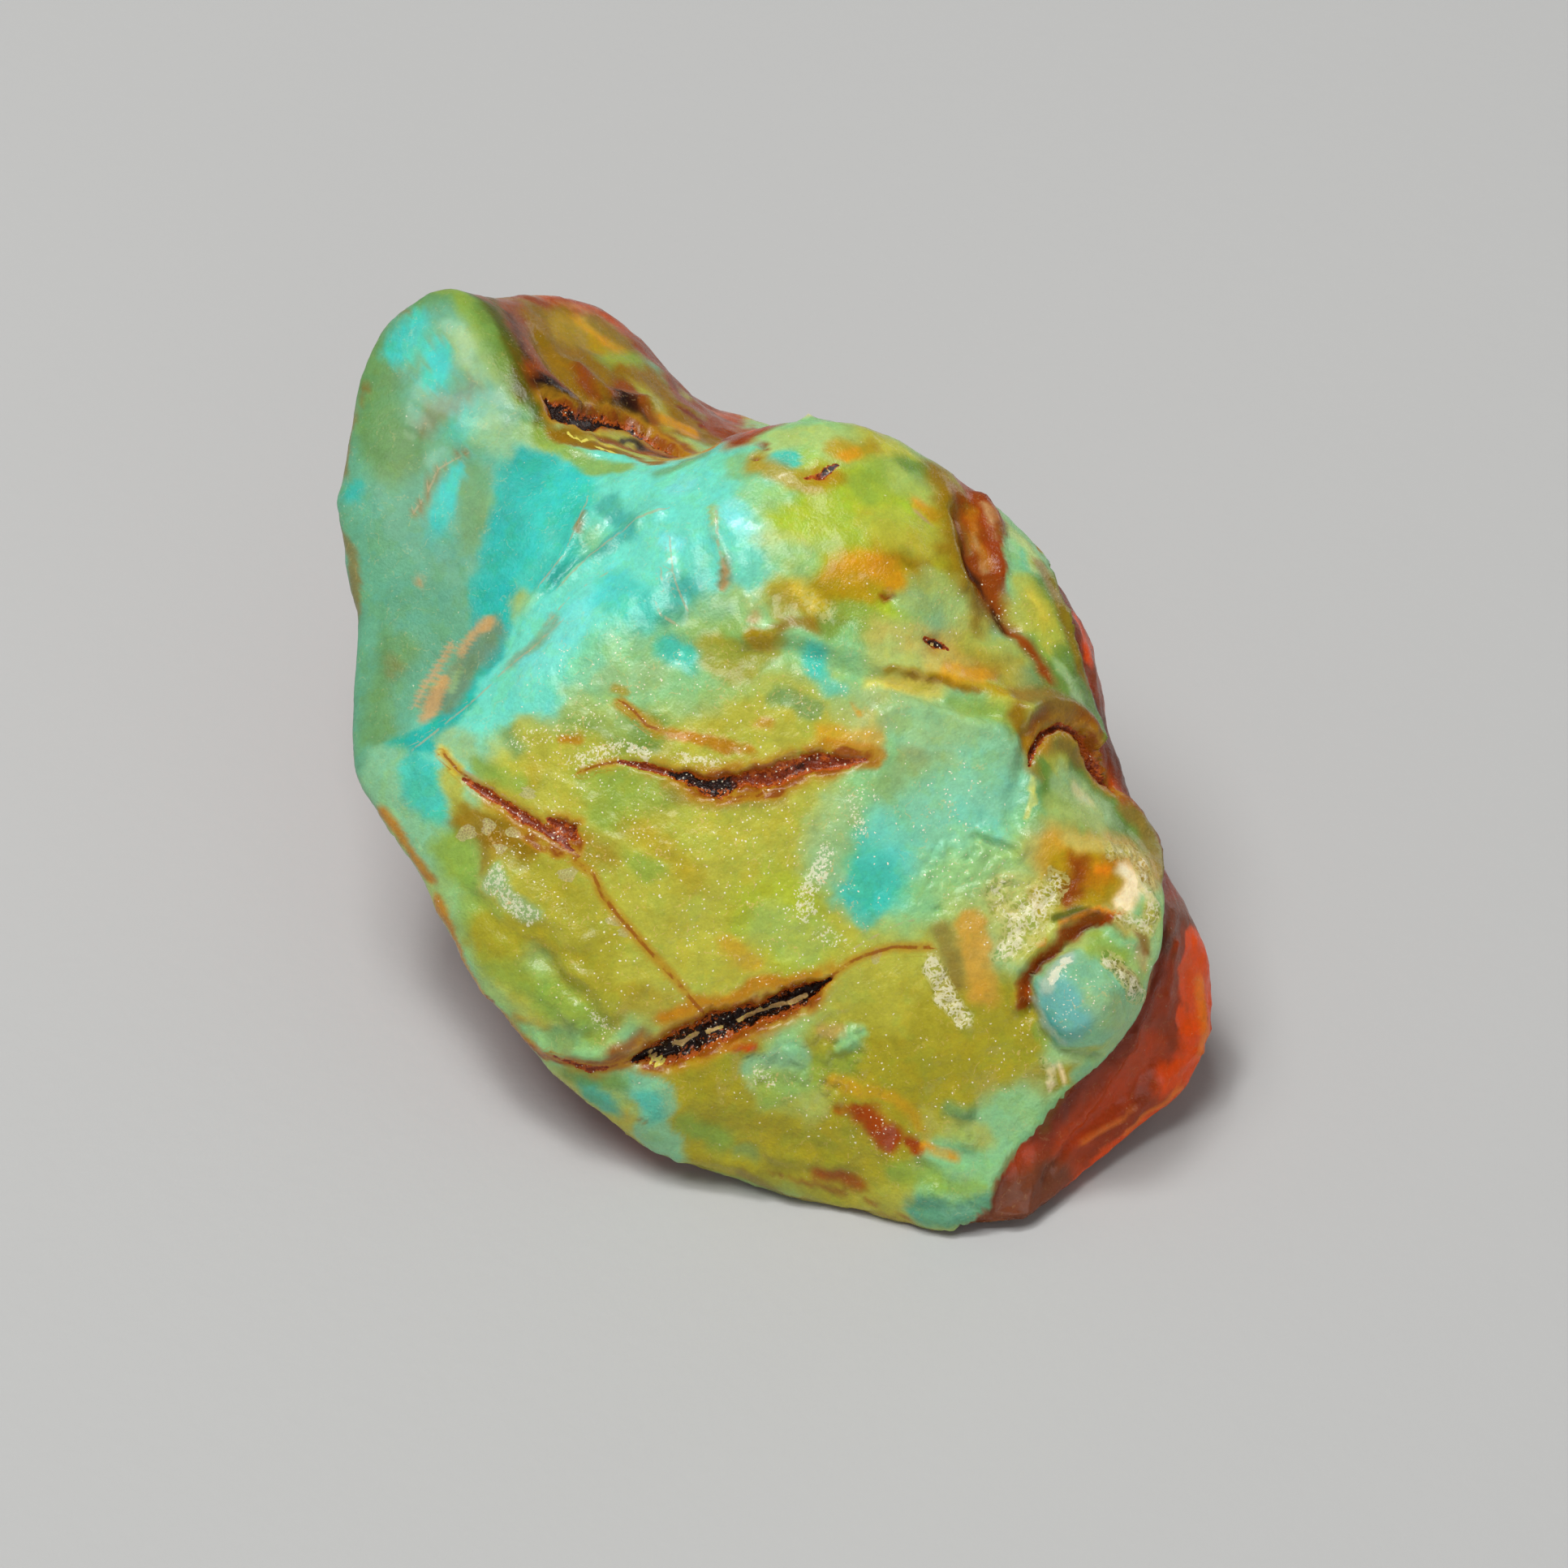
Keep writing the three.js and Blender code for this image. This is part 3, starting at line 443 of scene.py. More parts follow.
    ("ochre", 0.24, 0.18, 0.75, (-7, 19.8), (-6.3, 19.4), (-5.8, 18.9)),
    ("amber", 0.26, 0.2, 0.85, (-5.2, 18.7), (-4.2, 18.5), (-3.2, 18.35), (-2.2, 18.2)),
    ("amber", 0.18, 0.14, 0.6, (-1.8, 19.2), (-1.4, 19.1)),
    ("honey", 0.4, 0.3, 0.6, (0.4, 18.8), (1.3, 18.6), (2.2, 18.4)),
    ("amber", 0.3, 0.2, 0.7, (0.6, 18.3), (1.8, 18.1), (2.4, 17.9)),
    ("tan", 0.4, 0.3, 0.5, (-5, 16.7), (-3.6, 16.3), (-1.2, 16.5)),
    ("salmon", 0.14, 0.1, 0.8, (-2.7, 16.6), (-2.1, 16.75)),
    ("honey", 0.4, 0.3, 0.4, (-3, 10.9), (-2.2, 10.2)),
    ("olive", 0.9, 0.5, 0.6, (-9.6, 13.2), (-8.6, 12), (-7.6, 10.8)),
    # left flank and its crack
    ("seafoam", 1.2, 0.6, 0.95, (-15.8, 17.2), (-15.2, 16), (-14.4, 15.2)),
    ("turquoise", 0.8, 0.45, 0.8, (-14.5, 17.1), (-14, 16.4)),
    ("pale_mint", 0.6, 0.4, 0.85, (-13.4, 18.6), (-12.6, 18.2)),
    ("gold", 0.5, 0.3, 0.9, (-13.4, 17.4), (-13.1, 16.6), (-13, 15.8)),
    ("sulphur", 0.22, 0.2, 0.7, (-13.8, 18.2), (-13.2, 17.5)),
    ("dark_gold", 0.85, 0.4, 0.85, (-12.8, 15.5), (-11.8, 15.1), (-10.8, 14.9)),
    ("dark_gold", 0.7, 0.5, 0.6, (-11.8, 14.6), (-10.6, 14.3)),
    ("dark_gold", 0.6, 0.5, 0.55, (-8.7, 14.7), (-7.8, 14.3)),
    ("leaf", 0.4, 0.3, 0.85, (-12.3, 17.6), (-11.4, 17.1), (-10.6, 16.9)),
    ("sage_blue", 0.4, 0.25, 0.8, (-11, 18.7), (-10.9, 18.2)),
    ("ochre", 0.3, 0.25, 0.6, (-10.1, 17.6), (-10.1, 17)),
    ("amber", 0.2, 0.16, 0.8, (-9, 18.6), (-8.7, 18.5)),
    ("gold", 0.7, 0.5, 0.8, (-10.2, 19), (-9.6, 17.8)),
    ("leaf", 0.8, 0.5, 0.9, (-13.6, 14.6), (-13, 13.8)),
    ("leaf", 0.9, 0.6, 0.7, (-12.6, 12.4), (-11.4, 10.4), (-10, 9.8)),
    ("pale_mint", 0.42, 0.2, 0.85, (-11.6, 13.4), (-11.1, 12.7), (-10.5, 12.2)),
    ("olive", 0.9, 0.5, 0.9, (-11.9, 11.4), (-10.4, 11.2)),
    ("mint", 0.5, 0.35, 0.5, (-10.2, 10.4), (-9.7, 10)),
    ("olive", 0.8, 0.5, 0.8, (-9.2, 10.2), (-7.9, 9.6), (-7.5, 8.6)),
    ("leaf", 0.7, 0.5, 0.8, (-9.9, 9), (-8.9, 8.4), (-8.2, 7.8)),
    ("sage_blue", 0.35, 0.25, 0.8, (-9.8, 7.7), (-9.1, 7.3)),
    # amber lines along the lower left edge, here and two rows below, are partly painted glow of light
    # through the thin rim
    ("amber", 0.3, 0.2, 0.9, (-13.8, 12.6), (-12.4, 9.6), (-11, 7.8), (-9.9, 6.9)),
    ("brown", 0.12, 0.08, 0.92, (-12, 9.1), (-11, 7.7), (-10, 6.9)),
    ("amber", 0.3, 0.2, 0.9, (-15.8, 15.8), (-15, 14.6), (-14.2, 13.5)),
    # lower front
    ("ochre", 0.6, 0.5, 0.6, (-6.4, 9), (-5.4, 8.3)),
    ("amber", 0.32, 0.28, 0.9, (-5.4, 8.1), (-4, 8.8), (-2.6, 9.1), (-1, 9.6), (0.6, 10)),
    ("brown", 0.22, 0.16, 0.97, (-9.7, 6.9), (-8.6, 6.5), (-7.4, 6.5), (-6.8, 6.6)),
    ("brown", 0.3, 0.3, 0.85, (-7.3, 6.9), (-6.5, 7.1), (-5.9, 7.5)),
    ("rust_orange", 0.22, 0.12, 1.0, (-3.5, 7.35), (-2.8, 7.3), (-2.1, 7.3)),
    ("lagoon", 0.5, 0.3, 0.75, (-8.3, 5.7), (-7.6, 4.9)),
    ("seafoam", 0.7, 0.3, 0.95, (-6.1, 5.7), (-6, 4.9), (-6.2, 4.2), (-5.2, 3.5)),
    ("turquoise", 0.4, 0.3, 0.6, (-6.2, 5.4), (-6, 4.6)),
    ("sage", 0.4, 0.3, 0.7, (-8.8, 6), (-7.2, 5.9)),
    ("leaf", 0.6, 0.4, 0.8, (-4.4, 4.3), (-3.6, 3.9)),
    ("tan", 0.12, 0.1, 0.7, (-6.7, 4.55), (-6.4, 4.4)),
    ("sage_blue", 0.3, 0.2, 0.6, (-2.8, 3.4), (-2.2, 3.2)),
    ("seafoam", 0.6, 0.35, 0.85, (-2, 6.3), (-0.8, 6.7), (-0.7, 5.9)),
    ("pale_lime", 0.8, 0.5, 0.6, (-1.4, 5.6), (-0.2, 5.2)),
    ("leaf", 0.6, 0.4, 0.6, (-1.4, 5.5), (0.4, 6.4), (1.2, 6.8)),
    ("mint", 0.4, 0.2, 0.85, (1.3, 7.5), (1.6, 7.7)),
    ("salmon", 0.2, 0.16, 0.5, (0.5, 7.8), (1.1, 7.85)),
    ("mint", 0.4, 0.3, 0.6, (-1.2, 7.6), (-0.7, 7.3)),
    ("gold", 0.9, 0.6, 0.6, (1.8, 9), (3, 8.6), (3.4, 9.6)),
    ("tan", 0.5, 0.5, 0.7, (4.8, 11.3), (5.1, 10.6), (5.3, 9.8)),
    ("honey_tan", 0.58, 0.3, 0.85, (5.9, 11.7), (6.1, 11), (6.3, 10), (6.4, 9.2)),
    ("honey", 0.3, 0.3, 0.45, (0.8, 6), (1.8, 5.6), (3, 5.1), (4, 4.3)),
    ("amber_brown", 0.2, 0.2, 1.0, (1, 4.95), (1.7, 4.8)),
    ("amber_brown", 0.42, 0.25, 1.0, (1.9, 4.6), (2.5, 4.1), (2.9, 3.8)),
    ("amber_brown", 0.25, 0.12, 1.0, (3.6, 3.7), (4, 3.5)),
    ("honey", 0.2, 0.16, 0.85, (4.2, 3.5), (5.4, 3)),
    ("leaf", 0.6, 0.35, 0.8, (3.2, 2.6), (4.4, 2.3)),
    ("gold", 0.5, 0.4, 0.7, (4.6, 4.6), (5.4, 4.2), (6.3, 3.8)),
    ("sea_green", 0.6, 0.3, 0.95, (4.4, 1.1), (5.4, 0.9), (6.3, 1.2)),
    ("leaf", 0.3, 0.2, 0.7, (4.8, 2.1), (6.2, 2)),
    ("amber_brown", 0.35, 0.3, 0.85, (0.3, 2.5), (1.2, 2.35), (2, 2)),
    ("rust", 0.14, 0.14, 0.6, (2.1, 1.5), (2.5, 1.2)),
    ("rust", 0.12, 0.14, 0.6, (3.3, 1), (3.7, 0.7)),
    ("tan", 0.2, 0.15, 0.6, (-2.6, 2.6), (-1, 1.7), (1, 1.3), (2.8, 0.9), (4, 0.3)),
    ("brick", 0.12, 0.1, 0.62, (-1.4, 2.4), (0, 2), (1.4, 1.8)),
    # nose
    ("ochre", 0.5, 0.35, 0.85, (9.4, 14.3), (10, 14.3)),
    ("honey_tan", 1.4, 0.9, 0.9, (9.4, 13.9), (10.8, 13.6), (11.9, 14)),
    ("ochre", 0.9, 0.7, 0.95, (9.4, 13.8), (10.2, 13.2), (10.8, 13.8)),
    ("brown", 0.45, 0.5, 0.97, (9.9, 13.9), (9.8, 13.2), (9.5, 12.7)),
    ("amber", 0.4, 0.4, 0.95, (10.4, 13.3), (10.9, 13.7), (11.2, 14)),
    ("orange", 0.2, 0.25, 0.8, (10.6, 13.8), (11.1, 13.8)),
    ("white", 0.4, 0.3, 0.95, (11.8, 13.6), (12, 13), (11.6, 12.5)),
    ("cream", 0.3, 0.3, 0.85, (9.7, 14.8), (10.8, 14.6), (11.7, 14.3)),
    ("white", 0.2, 0.16, 0.8, (12.3, 13), (12.6, 12.5)),
    ("cream", 0.9, 0.6, 0.5, (7.2, 12.8), (7.5, 11.2), (8.4, 12.4)),
    ("honey", 0.25, 0.25, 0.7, (8.3, 12.9), (8.5, 12.2)),
    ("gold", 0.5, 0.35, 0.7, (8.6, 13.1), (8.9, 12.4), (8.2, 10.8)),
    ("moss", 0.18, 0.12, 0.8, (9, 12), (10, 12.2), (11, 12), (11.7, 11.4)),
    ("amber_brown", 0.26, 0.18, 1.0, (7.75, 8.7), (7.9, 9.4), (8.4, 10.4), (9.2, 11.3), (10.2, 11.9),
     (11.2, 12)),
    ("brick", 0.14, 0.12, 0.82, (11.2, 12), (12, 11.5), (12.4, 10.8)),
    ("orange", 0.09, 0.08, 0.7, (8.3, 10.9), (9.3, 11.8), (10.4, 12.3), (11.5, 12.2)),
    ("salmon", 0.35, 0.2, 0.6, (10.9, 10.7), (11.3, 10), (11.2, 9.3)),
    ("salmon", 0.25, 0.2, 0.6, (12.1, 11), (12.2, 10.2)),
    ("cream", 0.35, 0.25, 0.8, (11.5, 11.9), (12.3, 11.4), (12.6, 12.1)),
    ("tan", 0.2, 0.15, 0.7, (12, 11.4), (12.6, 10.7)),
    ("seafoam", 1.9, 0.3, 1.0, (10.2, 8.9),),
    ("steel", 0.9, 0.6, 0.8, (9.5, 8.8), (9.2, 8.3)),
    ("teal", 0.3, 0.25, 0.6, (8.7, 8.2), (9.2, 7.6)),
    ("leaf", 0.5, 0.3, 0.8, (10.6, 10.9), (11.4, 10.4)),
    ("tan", 0.3, 0.2, 0.7, (11.3, 10), (11.8, 9.4)),
    ("salmon", 0.12, 0.08, 0.6, (11.5, 10), (12, 9.5)),
    ("teal", 0.14, 0.1, 0.6, (10.5, 9.4), (11.2, 9.2), (11.5, 8.5)),
    ("leaf", 0.2, 0.15, 0.7, (8.2, 7.8), (8.9, 7.1), (10, 6.7)),
    ("pale_mint", 0.5, 0.4, 0.8, (9, 7), (10.2, 6.7)),
    ("pale_mint", 0.6, 0.4, 0.7, (10.8, 8.9), (11.5, 8.2)),
    ("ice_grey", 0.22, 0.1, 0.9, (9.5, 10.4), (9, 9.8), (8.7, 9.2)),
    ("ice_grey", 0.14, 0.08, 0.7, (8.2, 8.8), (8.6, 8), (9.3, 7.5)),
    ("seafoam", 0.42, 0.2, 0.95, (12.9, 10.8), (12.4, 9.4), (11.9, 8.2), (11, 7), (9.9, 5.9)),
    ("pale_mint", 0.22, 0.12, 0.8, (12.8, 11.6), (12.5, 10), (12.1, 8.8), (11.4, 7.7), (10.4, 6.6)),
    ("mint", 0.4, 0.2, 0.9, (9.4, 5.3), (8.6, 4.3), (7.8, 3.4)),
    ("tan", 0.2, 0.15, 0.6, (7.6, 3.4), (7, 2.6)),
    ("cream", 0.4, 0.25, 0.5, (4.4, 10.4), (4.8, 9.7), (5.1, 9), (5.5, 8.2)),
    ("white", 0.12, 0.06, 0.9, (8.9, 6.3), (8.9, 5.4)),
    ("white", 0.08, 0.05, 0.8, (9.2, 6.5), (9.4, 5.9)),
    ("sage_blue", 0.36, 0.25, 0.9, (5.3, 5), (5.7, 4.8)),
    ("maroon", 0.07, 0.05, 0.92, (5.1, 5.35), (5.5, 5.45), (5.9, 5.3)),
)

# Stains, painted glow and painted shadow of the clear amber where the rind is broken away, laid out in the
# same way.
WEDGE_STAINS = (
    ("mauve", 1.6, 0.8, 0.95, (5.6, 0.2), (7.4, 0.9), (8.8, 1.7)),
    ("haze", 1.2, 0.6, 0.9, (10.6, 3.6), (12.4, 6.4), (13, 9)),
    # painted glow of light through the clear amber, strongest along its outer edges, with brighter streaks
    ("ember", 0.7, 0.5, 0.35, (10.2, 3.9), (11.6, 5.4), (12.6, 7)),
    ("ember", 0.78, 0.1, 1.0, (14.4, 10.9), (14.4, 9.6), (14.3, 8.4)),
    ("ember", 0.8, 0.4, 0.9, (14.5, 7.6), (14.3, 6.6), (13.4, 6)),
    # painted shadow cast by the rind's lip on the clear amber
    ("umber", 0.5, 0.5, 0.4, (13.3, 11.6), (13.2, 10), (12.6, 8.4), (11.4, 6.7), (10, 5.3), (8.6, 3.6)),
    ("ember", 0.8, 0.3, 1.0, (15.2, 10.8), (15.3, 9.2), (15.2, 7.6), (14.8, 6.3)),
    ("ember", 0.36, 0.2, 0.9, (14.7, 5.7), (13.5, 4.6), (12.4, 3.7), (11.2, 2.9), (10, 2.2)),
    ("flame", 0.3, 0.25, 0.8, (14.7, 9.6), (14.8, 8.2), (14.6, 6.8)),
    ("flame", 0.1, 0.1, 0.6, (10.1, 3.6), (11.2, 4.2), (12.2, 4.8)),
    ("flame", 0.14, 0.1, 0.7, (13.9, 5.6), (12.8, 4.6), (11.8, 3.8)),
    ("haze", 0.1, 0.08, 0.7, (13.7, 9.3), (14.2, 8.6), (14.9, 8.3)),
    ("rust", 0.8, 0.4, 0.9, (9.4, 24.2), (10.1, 22.4), (10.7, 20.4), (11, 18.6), (11.6, 17.4),
     (12.2, 16.2)),
    ("umber", 0.5, 0.5, 0.45, (10.9, 19.4), (11.3, 18.2), (11.8, 17)),
    # painted glow at the thin outer rim of the side lobe
    ("ember", 0.3, 0.15, 1.0, (10, 23.2), (10.3, 22.5), (10.45, 21.7)),
    ("umber", 0.16, 0.14, 0.8, (9, 24.8), (9.5, 23.4), (9.8, 22.2), (10.2, 21), (10.6, 20), (10.9, 18.9)),
    # painted shadow along the clear amber beside the rind's edge
    ("dark_gold", 0.3, 0.3, 0.45, (13.1, 11.5), (12.9, 10), (12.4, 8.6), (11.3, 7), (9.9, 5.6), (8.6, 4)),
    ("mauve", 0.4, 0.3, 0.5, (12.9, 13.6), (13.3, 12.4), (13.6, 11.6)),
    ("brown", 0.4, 0.3, 0.82, (12.3, 15.7), (13, 14.3)),
)

# Where the rind's finish changes: strength, half width, softness, route.
FINISHES = {
    # grown smooth, without lumps
    "smooth": (
        (0.85, 3.6, 1.2, (-15.2, 33), (-14.5, 28), (-13.5, 23), (-15.5, 20)),
        (0.9, 1.3, 0.5, (-10.3, 28.6), (-11.1, 25.8), (-12, 23.5)),
        (0.7, 1.4, 0.8, (2.6, 14), (4.5, 16.5), (5, 18.2)),
        (0.6, 1.2, 0.6, (9.7, 8.9),),
        (0.6, 1.4, 0.8, (9.4, 17), (10.2, 16)),
        (0.5, 1.2, 0.8, (6.2, 10.5), (3.6, 7.6)),
    ),
    # covered with small round pebbles
    "pebbled": (
        (1.0, 1.0, 0.5, (-1.8, 6.4), (-0.5, 6.3), (0.6, 5.8), (1.2, 7.3)),
        (0.8, 1.0, 0.5, (5.2, 14), (6.6, 13.8), (7.2, 12.8)),
        (0.8, 0.6, 0.4, (-9.6, 9), (-8.8, 8)),
        (0.6, 0.8, 0.5, (5.4, 3.6), (6.4, 3), (4.4, 2.2)),
        (0.5, 0.8, 0.5, (-12.4, 15.2), (-10.8, 15)),
        (0.5, 1.0, 0.6, (-0.4, 23.6), (-2.2, 23.2)),
    ),
    # cream crust with winding pits
    "crusted": (
        (1.0, 0.6, 0.5, (8.9, 13.3), (8.2, 12.4), (7.3, 11.8), (7.2, 10.9)),
        (0.9, 0.4, 0.4, (7, 13.2), (6.9, 12.4)),
        (0.8, 0.3, 0.3, (8.4, 11.6), (8, 10.9)),
        (0.85, 0.5, 0.3, (11.2, 14.5), (12.2, 14.2), (12.4, 13)),
        (0.9, 0.35, 0.2, (11.4, 12.2), (12.4, 11.6), (12.6, 12.4)),
        (0.9, 0.42, 0.2, (11.2, 10.3), (11.7, 9.6), (11.9, 9.1)),
        (1.0, 0.46, 0.14, (4.4, 10.3), (4.8, 9.7), (5.1, 9), (5.5, 8.2)),
        (0.45, 0.6, 0.4, (-0.6, 24), (0.4, 23.4)),
        (0.5, 0.3, 0.2, (8.7, 6.6), (9, 5.6)),
    ),
    # grey-white grains in round flecks and hazy patches
    "frosted": (
        (0.7, 0.3, 0.15, (-6.9, 18.25), (-6.2, 18.1)),
        (0.55, 0.3, 0.2, (-5, 17.9), (-3.6, 17.6)),
        (0.6, 0.4, 0.25, (1.6, 15.7), (1.9, 15)),
        (0.5, 0.3, 0.2, (0.2, 11.4), (1, 11)),
        (0.58, 0.45, 0.3, (-11.6, 13.4), (-11.1, 12.7), (-10.5, 12.2)),
        (0.55, 0.4, 0.3, (-8.6, 17.8), (-7.4, 18.2)),
        (0.6, 0.45, 0.3, (0.6, 14.4), (0.2, 13.3), (-0.2, 12.4)),
        (0.4, 0.5, 0.4, (1.6, 16.4), (2.3, 16.6)),
        (0.4, 0.5, 0.4, (-8, 19), (-10.9, 18.5)),
        (0.5, 0.35, 0.2, (-8.3, 8.4), (-7.6, 7.9)),
        (0.9, 0.2, 0.1, (9.5, 10.3), (9, 9.6)),
        (0.5, 0.3, 0.2, (-2, 6.2), (-1.4, 5.8)),
    ),
    # round grey flecks of small grains
    "flecked": (
        (1.0, 0.36, 0.08, (-12.9, 15.1),),
        (1.0, 0.34, 0.08, (-12, 15.3),),
        (0.9, 0.3, 0.08, (-11, 15.05),),
        (1.0, 0.34, 0.08, (-10.35, 16.55),),
        (0.9, 0.34, 0.08, (-9.05, 13.6),),
        (0.9, 0.28, 0.08, (-11.5, 14.4),),
        (1.0, 0.22, 0.06, (-7.2, 11.75),),
        (1.0, 0.24, 0.06, (-6.85, 11.3),),
        (0.8, 0.2, 0.06, (2.5, 10.6),),
    ),
    # cream-gold filling along the middle of a crack
    "filled": (
        (1.0, 0.1, 0.1, (-5.3, 7.1), (-4.5, 7.4), (-3.8, 7.75), (-2.8, 8.1), (-1.8, 8.4), (-0.9, 8.75),
         (-0.2, 9.1)),
        (0.8, 0.12, 0.06, (-6.1, 6.75), (-5.6, 6.65)),
        (0.8, 0.1, 0.05, (-7.9, 29.35), (-7.4, 29.15), (-7, 29)),
        (0.7, 0.1, 0.05, (-8.9, 29.9), (-8.4, 29.6)),
        (0.7, 0.05, 0.04, (0.25, 28.43), (0.6, 28.58)),
        (0.7, 0.05, 0.04, (4.42, 22.15), (4.75, 22.02)),
    ),
    # painted sparkle highlights: where fine bright specks lie thickest
    "glinting": (
        (0.9, 3.5, 2.0, (-4, 14.5), (-1, 12.5), (-9, 15)),
        (0.6, 2.5, 1.5, (-3, 19), (1, 19.5), (-8, 20)),
        (0.5, 2.0, 1.2, (5, 16), (6.5, 13)),
        (0.5, 2.5, 1.5, (-8, 10), (3, 5)),
        (0.7, 1.2, 0.8, (7, 6.6), (7.4, 8)),
        (0.7, 1.0, 0.6, (9.8, 8.8), (11.8, 10)),
        (0.4, 1.5, 1.0, (3, 24), (8.5, 22.5)),
    ),
    # black-brown resin in the bottom of the cracks, and painted shade in the depth of the hollow
    "pitch": (
        (1.0, 1.1, 0.3, (-6.7, 6.8), (-5.2, 7.1), (-3.5, 8), (-1.7, 8.5), (0.3, 9.4)),
        (0.75, 0.6, 0.3, (-4.6, 17.1), (-4, 16.9), (-3.2, 17)),
        (0.55, 0.4, 0.3, (-0.8, 17.5), (-0.1, 17.8)),
        (0.8, 1.1, 0.5, (-9.6, 31.2), (-8.4, 30.5), (-6.8, 30.4), (-6, 29.9)),
        (0.75, 0.3, 0.2, (0.1, 28.4), (0.8, 28.6)),
        (0.75, 0.3, 0.2, (4.3, 22.2), (4.8, 22)),
        (0.5, 0.5, 0.3, (8.3, 18.3), (9, 19), (9.8, 18.8)),
        (0.45, 0.4, 0.3, (6.8, 23.5), (7.3, 22.9)),
    ),
    # iron-brown halo
    "rusted": (
        (0.6, 0.35, 0.3, (1.2, 17.9), (2.2, 17.8)),
        (0.8, 0.3, 0.25, (-9.6, 15.2), (-8.7, 14.7)),
        (0.6, 0.25, 0.2, (-10.4, 14.8), (-9.4, 14.5)),
        (0.5, 0.2, 0.2, (-3.4, 16.4), (-1.2, 16.7)),
    ),
}

# Small hills and pits: height, radius, place.
HILLS = (
    (0.75, 1.65, (9.9, 8.9)),
    (0.22, 0.5, (9.2, 9.7)),
    (0.18, 0.4, (10.7, 9.1)),
    (-0.2, 0.3, (10.3, 9.9)),
    (0.15, 0.35, (9.6, 8)),
    (0.14, 0.5, (-17.4, 27.4)),
    (0.25, 0.22, (-0.1, 30.55)),
    (0.3, 0.4, (1.4, 7.6)),
    (0.3, 0.4, (5.6, 4.8)),
    (0.22, 0.42, (5.8, 3.9)),
    (-0.24, 0.16, (5.8, 3.9)),
    (0.28, 0.5, (11.6, 9.6)),
    (0.3, 0.6, (-8.7, 8.4)),
    (0.25, 0.5, (-2.1, 23.4)),
    (-0.25, 0.45, (-4.8, 21.9)),
    (-0.18, 0.35, (-4.7, 23.9)),
    (0.2, 0.6, (-2.6, 25)),
    (-0.22, 0.16, (-1.8, 29.35)),
    (-0.18, 0.14, (-2.1, 28.9)),
    (-0.3, 0.2, (2.9, 23.85)),
    (0.18, 0.5, (2.5, 4.2)),
    (-0.16, 0.12, (4.6, 12.3)),
    (-0.16, 0.12, (5.8, 14.2)),
    (-0.16, 0.12, (6.15, 14.55)),
    (-0.2, 0.14, (7.6, 12.2)),
    (-0.2, 0.14, (8.9, 13.4)),
    (0.35, 0.7, (11, 17.9)),
    (0.3, 0.6, (11.5, 17.1)),
    (0.25, 0.6, (10.6, 20.6)),
)

